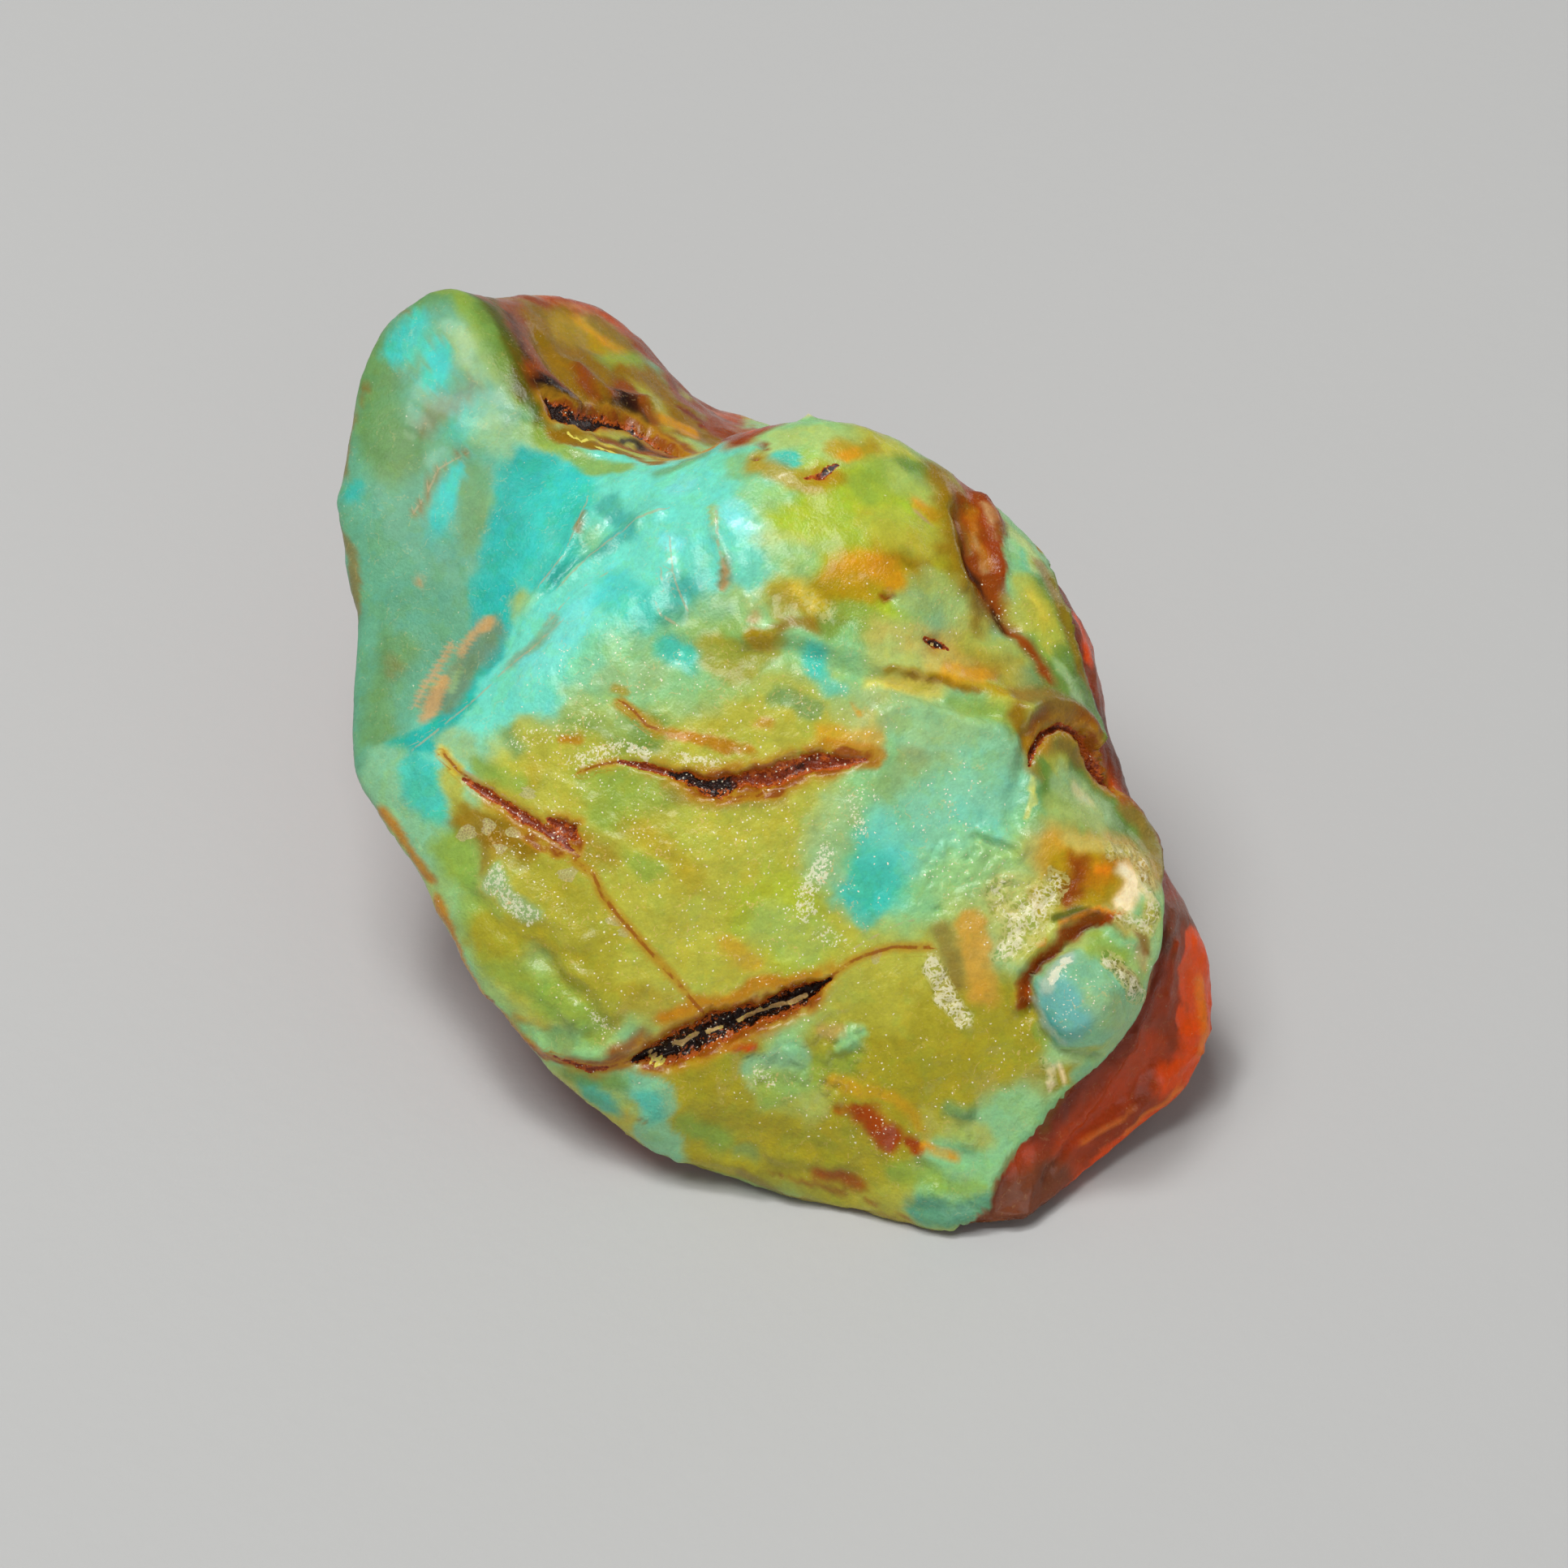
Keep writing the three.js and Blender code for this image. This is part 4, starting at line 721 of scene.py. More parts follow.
# Ribs and furrows: height, half width, route.
RIBS = (
    (-0.6, 0.3, (7.95, 8.4), (7.95, 9.2), (8.3, 10), (8.8, 10.6), (9.4, 11.15), (10, 11.6), (10.6, 11.7)),
    (-0.35, 0.5, (5.6, 26.8), (5.8, 25.6), (6.2, 24.7), (6.7, 23.6), (7.3, 22.85)),
    (0.25, 0.35, (6.3, 27.4), (6.8, 26.6), (7, 25.6), (7, 24.8)),
    (0.35, 0.5, (-2.4, 22.6), (-0.4, 22.5), (1.2, 22.2), (2.8, 21.6), (4.6, 21), (6.6, 20.2), (8, 19.6)),
    (-0.22, 0.4, (-2.2, 22), (0, 21.6), (2.4, 20.8), (4.4, 20), (6.4, 19.5)),
    (0.25, 0.35, (2.6, 19.4), (3.6, 19.7), (5, 19.5), (6.6, 19), (7.5, 18)),
    (-0.2, 0.35, (7.9, 18.6), (7.8, 17.6), (7.5, 16.4), (7.6, 15)),
    (0.2, 0.25, (-8.3, 27), (-9.4, 25), (-10.6, 23.2)),
    (0.22, 0.3, (-5.6, 27), (-7.6, 25.8), (-9.2, 24.2), (-10.8, 22.6)),
    (-0.2, 0.35, (-7, 27), (-8.6, 25.4), (-10, 23.6), (-11.8, 21.6)),
    (0.25, 0.35, (-3.5, 27), (-3.5, 25.6), (-3.2, 24.6)),
    (-0.15, 0.25, (-5.1, 26), (-4.9, 24.4), (-4.6, 23.2)),
    (0.3, 0.4, (-9.2, 10.2), (-8, 9.5), (-7.4, 8.4)),
    (-0.25, 0.4, (-10.2, 10.6), (-8.9, 9.2), (-7.8, 8)),
    (0.25, 0.5, (-11.8, 14), (-10, 12.4), (-8.6, 11)),
    (-0.2, 0.45, (-12.4, 12.6), (-10.8, 11), (-9.6, 10.4)),
    (0.28, 0.3, (6.4, 15.1), (7.2, 15), (7.7, 14.4)),
    (-0.24, 0.25, (6.1, 14.9), (6.8, 14.8), (7.4, 14.5)),
    (-0.3, 0.25, (8.1, 8.4), (8.5, 7.6), (9.3, 7), (10.4, 6.8)),
    (0.25, 0.3, (9, 12.2), (10.2, 12.3), (11.2, 12), (11.8, 11.2)),
    (0.3, 0.3, (7.6, 8.8), (7.5, 9.8), (8.2, 10.9), (9, 11.6)),
    (0.2, 0.35, (-1.2, 3.2), (0.8, 2.9), (2.6, 3.2), (4.2, 3), (5.6, 2.6)),
    (-0.2, 0.3, (1.8, 3.2), (3, 3.3), (4.4, 2.8)),
    (0.25, 0.4, (4, 1.7), (5.4, 1.6), (6.6, 1.8)),
    (-0.22, 0.25, (3.9, 1.3), (5.2, 1.35), (6.4, 1.5)),
    (0.3, 0.35, (-9.8, 7.2), (-8.4, 6.9), (-7, 7)),
    (0.22, 0.3, (-5, 3.2), (-3.8, 3.2), (-2, 2.6)),
    (0.3, 0.5, (5, 27.5), (5.2, 26), (5.6, 24.4)),
    (0.3, 0.35, (9.1, 24.4), (9.6, 23), (10, 21.8)),
    (0.3, 0.3, (8, 19.4), (8.8, 19.9), (9.8, 19.6), (10.6, 18.6)),
    (0.2, 0.25, (-9.2, 29.4), (-8, 29.1), (-7, 28.9)),
    (0.35, 0.4, (-8.8, 32.4), (-7.6, 31.2), (-6, 30.9)),
    (-0.3, 0.4, (-10.2, 33.6), (-9.4, 32.2), (-8.6, 31.4)),
    (0.3, 0.5, (11.8, 15.9), (12.6, 14.9), (13, 13.8)),
)

# Ridges and furrows of the clear amber's breaks, laid out in the same way.
BREAKS = (
    (0.22, 0.16, (13.8, 11), (13.5, 9.6), (13.35, 8.2), (14.1, 7.5), (15.2, 7.8)),
    (-0.2, 0.3, (13.2, 11.4), (13, 9.6), (12.4, 8), (11.2, 6.4), (9.9, 5)),
    (0.2, 0.18, (12.9, 9), (12.1, 7), (10.6, 4.9), (9.2, 3.3), (8.2, 1.8)),
    (0.2, 0.14, (13.7, 6.2), (12.3, 5), (10.3, 3.7), (9.2, 2.6)),
    (-0.15, 0.2, (12.9, 6.6), (11.4, 4.9), (9.9, 3.7), (8.8, 2.4)),
    (0.15, 0.14, (14.9, 6.9), (13.9, 6.9), (12.9, 7.3)),
)

# Edge of the rind against the clear amber on the right, from the side lobe down to the toe.
RIND_EDGE = (
    (8.6, 26), (8.9, 24.8), (9.2, 24), (9.5, 23.2), (9.7, 22.4), (9.9, 21.6), (10.3, 20.7), (10.5, 19.7),
    (10.8, 18.9), (10.6, 18.2), (11, 17.2), (11.7, 16.4), (12.4, 15.4), (12.9, 14.4), (13.1, 13.2),
    (13.1, 12), (13, 11), (12.7, 10), (12.3, 8.8), (11.9, 7.9), (11.1, 7), (10.2, 6.1), (9.3, 5.2),
    (8.4, 4.1), (7.5, 3), (6.9, 2.1), (6.5, 1.3), (5.8, 0.6), (4.6, 0.05),
)
BEYOND_EDGE = ((4.6, -4), (24, -4), (24, 26))    # closes the outline of the clear side

# ------------------------------------------------------------------ colours and sizes a user may change


def linear(code):
    """Scene-linear red, green and blue of a hex colour code."""
    shares = [int(code[start:start + 2], 16) / 255 for start in (1, 3, 5)]
    return tuple(((share + 0.055) / 1.055) ** 2.4 if share > 0.04 else share / 12.92 for share in shares)


RIND_COLOURS = {
    "turquoise": ("#3cccd0", "Turquoise patches"),
    "aqua": ("#78e0dc", "Bright blue-green of the crest"),
    # palest blue, partly painted highlight where it lies along the crest's ridges
    "ice": ("#84e4f0", "Palest blue of the crest"),
    "ice_grey": ("#b0d0cc", "Scraped grey-blue film"),
    "lagoon": ("#24b8bc", "Deep blue-green band"),
    "teal": ("#3ca4a8", "Shadowed teal"),
    "sea_green": ("#6cb09c", "Muted green of the lobe"),
    "seafoam": ("#8cc8ac", "Soft blue-green fields"),
    "mint": ("#94d0a0", "Mint green"),
    "pale_mint": ("#a0c89c", "Pale mint"),
    "pale_lime": ("#b0cc84", "Pale yellow-green"),
    "sage": ("#709850", "Grey green"),
    "sage_blue": ("#78a474", "Grey blue-green"),
    "leaf": ("#90b458", "Leaf green"),
    "lime": ("#acc844", "Yellow-green"),
    "sulphur": ("#e8dc60", "Sulphur yellow"),
    "gold": ("#b8c058", "Yellow olive"),
    "olive": ("#a8a838", "Olive"),
    "moss": ("#58640c", "Dark olive"),
    "dark_gold": ("#94780c", "Brown olive"),
    "ochre": ("#b09c18", "Ochre"),
    "honey": ("#d8a420", "Honey yellow"),
    "honey_tan": ("#cca84c", "Honey tan"),
    "amber": ("#bc8818", "Amber yellow-brown"),
    "amber_brown": ("#a0500c", "Glassy amber brown"),
    "orange": ("#ec9820", "Bright orange"),
    "rust_orange": ("#c05c18", "Orange rust"),
    "tan": ("#90783c", "Tan"),
    "salmon": ("#c0a880", "Salmon"),
    "brick": ("#8c4824", "Brick red"),
    "brown": ("#945008", "Brown"),
    "rust": ("#944808", "Rust"),
    "maroon": ("#843008", "Maroon"),
    # black brown of the resin in the cracks, also used as painted shade in the hollow, down the valley and
    # beside the rind's edge
    "umber": ("#241008", "Black brown"),
    "cream": ("#c8c478", "Cream crust"),
    "white": ("#fcf4dc", "White crust"),
    "steel": ("#70bccc", "Steel blue of the nose"),
    "gilt": ("#e4c07c", "Gilded grains and seams"),
    "haze": ("#a84c20", "Hazy skin of the clear amber"),
    "mauve": ("#84543c", "Scuffed skin of the clear amber"),
    # painted glow of light shining through the clear amber, at its edge and in its brightest streaks
    "ember": ("#f86818", "Glowing edge of the clear amber"),
    "flame": ("#fc9c3c", "Brightest streaks of the clear amber"),
    # near-white of the frost grains, also the colour of the painted sparkle highlights
    "glint": ("#fcf4d8", "Fine bright grains"),
    "fleck": ("#b4a480", "Round grey flecks"),
}


def colour_property(code, words):
    """A colour of the rind, given as a hex code."""
    return FloatVectorProperty(
        name=words, description=words, subtype="COLOR", size=3, min=0, max=1, default=linear(code))


def length_property(name, description, millimetres):
    """A size given in mm and kept in metres."""
    return FloatProperty(
        name=name, description=description, default=millimetres * MM, min=0, precision=5,
        subtype="DISTANCE", unit="LENGTH")


class AmberColours(bpy.types.PropertyGroup):
    """Colours of the rind, its crust, cracks and seams."""

    __annotations__ = {key: colour_property(*value) for key, value in RIND_COLOURS.items()}


class AmberSizes(bpy.types.PropertyGroup):
    """Sizes of the stone's mesh and relief."""

    grid_cells: IntProperty(
        name="Grid cells", description="Mesh cells along each of the six patches",
        default=128, min=8, max=128)
    softening: length_property("Softening", "Width over which breaks between facets are rounded", 1.2)
    lump_height: length_property("Lump height", "Height of the rind's broad lumps", 0.16)
    grain_height: length_property("Grain height", "Height of the rind's fine unevenness", 0.05)
    pebble_height: length_property("Pebble height", "Height of the small round pebbles", 0.16)
    crust_height: length_property("Crust height", "Height of the cream crust over its pits", 0.14)
    rind_step: length_property("Rind step", "Step from the rind down to the clear amber", 0.3)
    scallop_height: length_property("Scallop height", "Height of the ridges between conchoidal breaks", 0.3)


class AmberStudio(bpy.types.PropertyGroup):
    """Floor, lights and surround."""

    floor_size: FloatProperty(
        name="Floor size", description="Side of the square floor", default=3.0,
        subtype="DISTANCE", unit="LENGTH")
    floor_colour: FloatVectorProperty(
        name="Floor colour", description="Pale plain floor", subtype="COLOR", size=3, min=0, max=1,
        default=(0.53, 0.53, 0.52))
    key_power: FloatProperty(
        name="Key power", description="Power of the main soft light", default=1.4, unit="POWER")
    fill_power: FloatProperty(
        name="Fill power", description="Power of the low fill", default=0.88, unit="POWER")
    spark_power: FloatProperty(
        name="Spark power", description="Power of the small light", default=0.4, unit="POWER")
    rim_power: FloatProperty(
        name="Rim power", description="Power of the light behind", default=0.16, unit="POWER")
    sky_strength: FloatProperty(
        name="Sky strength", description="Strength of the even surround", default=0.2)


# ------------------------------------------------------------------ noise

HASH_STEPS = np.array([374761393, 668265263, 1442695041])   # one multiplier for each axis
SEED_STEP = 974634777                                       # and one for the seed
HASH_MIX = 1274126177
WORD = 0xFFFFFFFF        # keeps a hash to 32 bits
NOISE_GAIN = 1.4         # brings the blended slopes to about -1 to 1
SEED_STRAY = 0.45        # how far a cell's seed strays from its middle, in cells
FAR = 9.0                # further than any neighbouring seed, in cells


def smoothstep(low, high, value):
    """0 below low, 1 above high, and an S-shaped rise between."""
    share = np.clip((value - low) / (high - low), 0, 1)
    return share * share * (3 - 2 * share)


def blend(low, high, share):
    """low where the share is 0, high where it is 1, and in between by the share."""
    return low + (high - low) * share


def hashed(cells, seed):
    """A repeatable scatter of whole numbers below 2**32, one for each lattice cell."""
    key = (cells @ HASH_STEPS + seed * SEED_STEP) & WORD
    key = ((key ^ (key >> 13)) * HASH_MIX) & WORD
    return key ^ (key >> 16)


def random_vectors(cells, seed):
    """Three shares from -1 to 1 for each lattice cell, cut from its hashed number."""
    key = hashed(cells, seed)
    return np.stack([(key >> shift & 1023) / 511.5 - 1 for shift in (0, 10, 20)], axis=1)


def gradient_noise(points, seed):
    """Noise of about -1 to 1: random slopes at lattice points, blended with a quintic curve."""
    cells = np.floor(points).astype(np.int64)
    part = points - cells
    ease = part ** 3 * (part * (part * 6 - 15) + 10)
    total = np.zeros(len(points))
    for corner in product((0, 1), repeat=3):
        corner = np.array(corner)
        slopes = random_vectors(cells + corner, seed)
        weight = np.where(corner, ease, 1 - ease).prod(axis=1)
        total += weight * ((part - corner) * slopes).sum(axis=1)
    return total * NOISE_GAIN


def cloud(points, size, seed, layers=1):
    """Noise with lumps of the given size in mm, each further layer half as big and half as high."""
    return sum(
        gradient_noise(points * 2 ** layer / size, seed + layer) / 2 ** layer for layer in range(layers))


def cell_distances(points, size, seed):
    """Distances, in cells, to the nearest and next nearest of points scattered one to a lattice cell."""
    scaled = points / size
    cells = np.floor(scaled).astype(np.int64)
    nearest = np.full(len(points), FAR)
    following = np.full(len(points), FAR)
    for step in product((-1, 0, 1), repeat=3):
        neighbours = cells + np.array(step)
        seeds = neighbours + 0.5 + SEED_STRAY * random_vectors(neighbours, seed)
        distance = np.linalg.norm(scaled - seeds, axis=1)
        following = np.minimum(following, np.maximum(nearest, distance))
        nearest = np.minimum(nearest, distance)
    return nearest, following


# ------------------------------------------------------------------ the stone's facets

HULL_BATCHES = 24        # parts that the triples are tried in, to spare memory
BATCH_POINTS = 20000     # directions looked up at a time
RING_SAMPLES = 6         # directions on each ring round the middle one
RINGS = ((0.5, 0), (1.0, 0.5))    # each ring's share of the softening, and its turn in samples
STEEP = 0.9              # directions steeper than this take the x axis as their guide


def hull_triangles(directions):
    """Triples of directions with no other direction beyond their plane: the facets of their convex hull."""
    triples = np.array(list(combinations(range(len(directions)), 3)))
    found = []
    for batch in np.array_split(triples, HULL_BATCHES):
        a, b, c = (directions[batch[:, corner]] for corner in range(3))
        normals = np.cross(b - a, c - a)
        levels = (normals * a).sum(axis=1)
        normals[levels < 0] *= -1
        found.append(batch[((normals @ directions.T) <= np.abs(levels)[:, None] + 1e-9).all(axis=1)])
    return np.concatenate(found)


class Facets:
    """Flat facets between the corners, each facing one cone of directions seen from the core."""

    def __init__(self, corners):
        offsets = corners - CORE
        reaches = np.linalg.norm(offsets, axis=1)
        directions = offsets / reaches[:, None]
        triangles = hull_triangles(directions)
        inverses = np.linalg.inv(directions[triangles].transpose(0, 2, 1))
        self.to_shares = inverses.reshape(-1, 3).T
        self.reaches = reaches[triangles]

    def reach(self, directions):
        """Distance to the facet met: one over the corners' shares divided by the corners' reaches."""
        reach = np.empty(len(directions))
        for batch in np.array_split(np.arange(len(directions)), len(directions) // BATCH_POINTS + 1):
            shares = (directions[batch] @ self.to_shares).reshape(len(batch), -1, 3)
            facet = shares.min(axis=2).argmax(axis=1)
            chosen = shares[np.arange(len(batch)), facet]
            reach[batch] = 1 / (chosen / self.reaches[facet]).sum(axis=1)
        return reach

    def soft_reach(self, directions, softening):
        """The reach averaged over the direction and two rings round it, which rounds the edges."""
        middle = self.reach(directions)
        pole = np.where(np.abs(directions[:, 2:]) < STEEP, VERTICAL, np.array([1.0, 0, 0]))
        sideways = np.cross(pole, directions)
        sideways /= np.linalg.norm(sideways, axis=1)[:, None]
        upwards = np.cross(directions, sideways)
        total = middle.copy()
        for share, turn in RINGS:
            spread = (softening * share / middle)[:, None]
            for step in range(RING_SAMPLES):
                angle = 2 * math.pi * (step + turn) / RING_SAMPLES
                sample = directions + spread * (math.cos(angle) * sideways + math.sin(angle) * upwards)
                total += self.reach(sample / np.linalg.norm(sample, axis=1)[:, None])
        return total / (1 + RING_SAMPLES * len(RINGS))


def direction_grid(cells):
    """Directions on six square patches of a cube with equal-angle spacing, and quads between them.

    The patches are stretched to the stone's proportions and drawn towards its front, and the
    points they share along their seams are merged, so that the surface closes.
    """
    steps = np.tan(np.linspace(-math.pi / 4, math.pi / 4, cells + 1))
    u, v = np.meshgrid(steps, steps, indexing="ij")
    one = np.ones_like(u)
    sides = ((one, u, v), (-one, -u, v), (-u, one, v), (u, -one, v), (-v, u, one), (v, u, -one))
    grid = np.array([np.stack(side, axis=-1) for side in sides])
    corner = np.arange(6 * (cells + 1) ** 2).reshape(6, cells + 1, cells + 1)
    quads = np.stack(
        [corner[:, :-1, :-1], corner[:, 1:, :-1], corner[:, 1:, 1:], corner[:, :-1, 1:]],
        axis=-1).reshape(-1, 4)
    grid = grid.reshape(-1, 3)
    _, places, index = np.unique(np.round(grid, 9), axis=0, return_index=True, return_inverse=True)
    directions = grid[places] / np.linalg.norm(grid[places], axis=1)[:, None] * GRID_STRETCH
    directions = directions / np.linalg.norm(directions, axis=1)[:, None] + FRONT_SHARE * OUT
    return directions / np.linalg.norm(directions, axis=1)[:, None], index.reshape(-1)[quads]


def vertex_normals(points, quads):
    """Unit normals: the sum of the cross products of the diagonals of every quad at a vertex."""
    a, b, c, d = (points[quads[:, corner]] for corner in range(4))
    across = np.cross(c - a, d - b)
    total = np.stack(
        [
            sum(np.bincount(quads[:, corner], across[:, axis], len(points)) for corner in range(4))
            for axis in range(3)
        ],
        axis=1)
    return total / np.linalg.norm(total, axis=1)[:, None]


# ------------------------------------------------------------------ the stone's surface

TINY = 1e-9              # keeps a leg of no length from dividing by nothing
WIDE_WANDER = 0.4        # mm that a mark's edge wanders in long bends
FINE_WANDER = 0.14       # and in short ones
WANDER_SEEDS = (11, 23, 37)
NEARNESS = 20            # mm nearer the eye that make up for 1 mm beside the place
SMALL_WANDER = 0.45      # share of the wander that the edge of the thinnest mark follows,
MOST_WANDER = 1.2        # and of the broadest
EDGE_SHARE = 0.7         # share of a mark's softness on each side of its edge
SEAM_REACH = 0.35        # mm over which a seam's stain fades
CLEAR_REACH = 2          # mm from the rind's edge that count as far away
BACK_LEAN = 0.22         # a surface that faces away by more than this has lost its rind
CRACK_HALO = 0.42        # mm over which the rusty halo of a crack fades
FAR_CRACK = 3.0          # half widths from a crack that count as far away
FULL_CRACK = 0.3         # half width in mm from which a crack has its full depth
FAR_SEAM = 6.0           # half widths from a seam that count as far away
PEBBLE_SIZE = 0.62       # mm from pebble to pebble
SCALLOP_SIZE = 5.5       # mm from one conchoidal break to the next
CHIP_SIZE = 1.7          # and between the small chips on them
RIPPLE_SPACING = 0.9     # mm between the ripples round a break
RIPPLE_HEIGHT = 0.025    # mm
CHIP_SHARE = 0.25        # depth of the chips, as a share of the breaks'
MARGIN = 0.35            # mm beside the rind's edge that are stained amber round the back
TINT_DEPTH = 1.15        # power that deepens the stains' colours,
TINT_WARMTH = (1.2, 1.04, 0.82)   # and shares of red, green and blue that warm them


class Surface:
    """The smooth surface that marks are laid on: its points, normals and places on the front's plan."""

    def __init__(self, sizes):
        corners = [np.array(group) @ FACE_AXES for group in FACE_CORNERS.values()]
        corners += [np.array(group) @ GROUND_AXES for group in GROUND_CORNERS.values()]
        facets = Facets(TOE + np.concatenate(corners))
        directions, self.quads = direction_grid(sizes.grid_cells // (1))
        reach = facets.soft_reach(directions, sizes.softening / MM)
        self.points = CORE + directions * reach[:, None]
        self.normals = vertex_normals(self.points, self.quads)
        self.facing = self.normals @ OUT
        local = (self.points - TOE) @ FACE_AXES.T
        scale = EYE_DISTANCE / (EYE_DISTANCE - local[:, 2:])
        self.plan = EYE_FOOT + (local[:, :2] - EYE_FOOT) * scale
        self.out = local[:, 2]
        wander = [
            WIDE_WANDER * cloud(self.points, 1.9, seed, layers=3)
            + FINE_WANDER * cloud(self.points, 0.5, seed + 1, layers=2)
            for seed in WANDER_SEEDS]
        self.wander = np.stack(wander, axis=1)
        self.wandering = self.points + self.wander

    def spot(self, place):
        """The point that shows at a place on the plan; where two lie behind each other, the nearer one."""
        offset = np.hypot(*(self.plan - np.array(place)).T)
        return self.points[np.argmin(offset * NEARNESS - self.out)]

    def legs(self, points, route):
        """The straight legs of a route laid on the surface, as seen from the points.

        For each leg: the step from its start to its end, the share of it where each point is
        nearest, and the offset of the point from there. A single place is a leg of no length.
        """
        stops = [self.spot(place[:2]) for place in route]
        if len(stops) == 1:
            stops *= 2
        for start, end in zip(stops, stops[1:]):
            along = end - start
            share = np.clip(((points - start) @ along) / max(along @ along, TINY), 0, 1)
            yield along, share, points - start - share[:, None] * along

    def nearest(self, route, wandering=0.0):
        """Distance to a route, and the number of the nearest leg plus the share along it.

        wandering is the share of the surface's own wander that bends the route's edge.
        """
        points = self.points + wandering * self.wander
        best = np.full(len(points), np.inf)
        place = np.zeros(len(points))
        for number, (_, share, offset) in enumerate(self.legs(points, route)):
            distance = np.linalg.norm(offset, axis=1)
            closer = distance < best
            best[closer] = distance[closer]
            place[closer] = number + share[closer]
        return best, place

    def cover(self, half_width, softness, *route):
        """1 on a mark's route, falling to 0 round its wandering edge."""
        distance, _ = self.nearest(route, wandering=min(MOST_WANDER, SMALL_WANDER + half_width))
        edge = EDGE_SHARE * softness
        return 1 - smoothstep(half_width - edge, half_width + edge, distance)

    def side_of(self, route):
        """Signed distance to a route on the surface, and how near the route is, from 0 to 1."""
        best = np.full(len(self.points), np.inf)
        side = np.zeros(len(self.points))
        for along, _, offset in self.legs(self.points, route):
            distance = np.linalg.norm(offset, axis=1)
            closer = distance < best
            best[closer] = distance[closer]
            turn = (np.cross(along, offset) * self.normals).sum(axis=1)
            side[closer] = np.where(turn < 0, -distance, distance)[closer]
        return side, np.exp(-(best / SEAM_REACH) ** 2)


def inside_outline(plan, outline):
    """Which plan places lie inside a closed outline.

    A place is inside when a ray drawn sideways from it crosses the outline an odd number of times.
    """
    inside = np.zeros(len(plan), dtype=bool)
    for (x1, y1), (x2, y2) in zip(outline, outline[1:] + outline[:1]):
        crosses = (y1 > plan[:, 1]) != (y2 > plan[:, 1])
        meets = x1 + (plan[:, 1] - y1) * (x2 - x1) / (y2 - y1 if y2 != y1 else 1)
        inside ^= crosses & (plan[:, 0] < meets)
    return inside


def clear_side(surface):
    """Distance in mm past the rind's edge: above 0 on the clear amber, below 0 on the rind.

    On the front the edge follows its route; round the back it follows where the surface turns
    away, with a wandering line.
    """
    distance, _ = surface.nearest(RIND_EDGE)
    inside = inside_outline(surface.plan, RIND_EDGE + BEYOND_EDGE)
    wander = 0.1 * cloud(surface.points, 1.2, seed=61, layers=2)
    fade = smoothstep(-0.25, 0.1, surface.facing)
    on_front = np.where(inside, distance, -distance * fade - CLEAR_REACH * (1 - fade)) + wander
    behind = 4 * (-surface.facing - BACK_LEAN) + 0.9 * cloud(surface.points, 5, seed=53, layers=3)
    return np.clip(np.maximum(on_front, behind), -CLEAR_REACH, CLEAR_REACH)


def finish_fields(surface):
    """The strongest mark of each finish at every point."""
    fields = {}
    for name, marks in FINISHES.items():
        covers = [strength * surface.cover(*rest) for strength, *rest in marks]
        fields[name] = np.max(covers, axis=0)
    return fields


def crack_fields(surface):
    """Three fields of the open cracks.

    Distance from the nearest crack's middle, 1 at its edge; the depth of the cracks in mm, below 0;
    and the halo round them, falling from 1 to 0.
    """
    inward = np.full(len(surface.points), FAR_CRACK)
    depth = np.zeros(len(surface.points))
    halo = np.zeros(len(surface.points))
    ragged = (
        1 + 0.5 * cloud(surface.points, 0.7, seed=71, layers=2) + 0.4 * cloud(surface.points, 0.25, seed=73))
    clots = cloud(surface.points, 0.4, seed=75, layers=2)
    for deep, route in CRACKS.values():
        distance, place = surface.nearest(route)
        half_width = np.interp(place, range(len(route)), [stop[2] for stop in route])
        share = distance / (half_width * ragged)
        inward = np.minimum(inward, share)
        wall = np.exp(-share ** 4 * 0.8) * (1 + 0.35 * clots)
        size = np.minimum(half_width / FULL_CRACK, 1)
        depth -= deep * size * wall
        beside = np.maximum(distance - half_width, 0)
        halo = np.maximum(halo, size * np.exp(-(beside / CRACK_HALO) ** 1.3))
    return inward, depth, halo


def seam_fields(surface, seams):
    """Signed distance to the nearest of the seams in its own half widths, and how near that seam is."""
    side = np.full(len(surface.points), FAR_SEAM)
    near = np.zeros(len(surface.points))
    for half_width, *route in seams:
        signed, close = surface.side_of(route)
        ratio = signed / half_width
        closer = np.abs(ratio) < np.abs(side)
        side[closer] = ratio[closer]
        near = np.maximum(near, close)
    return np.clip(side, -FAR_SEAM, FAR_SEAM), near


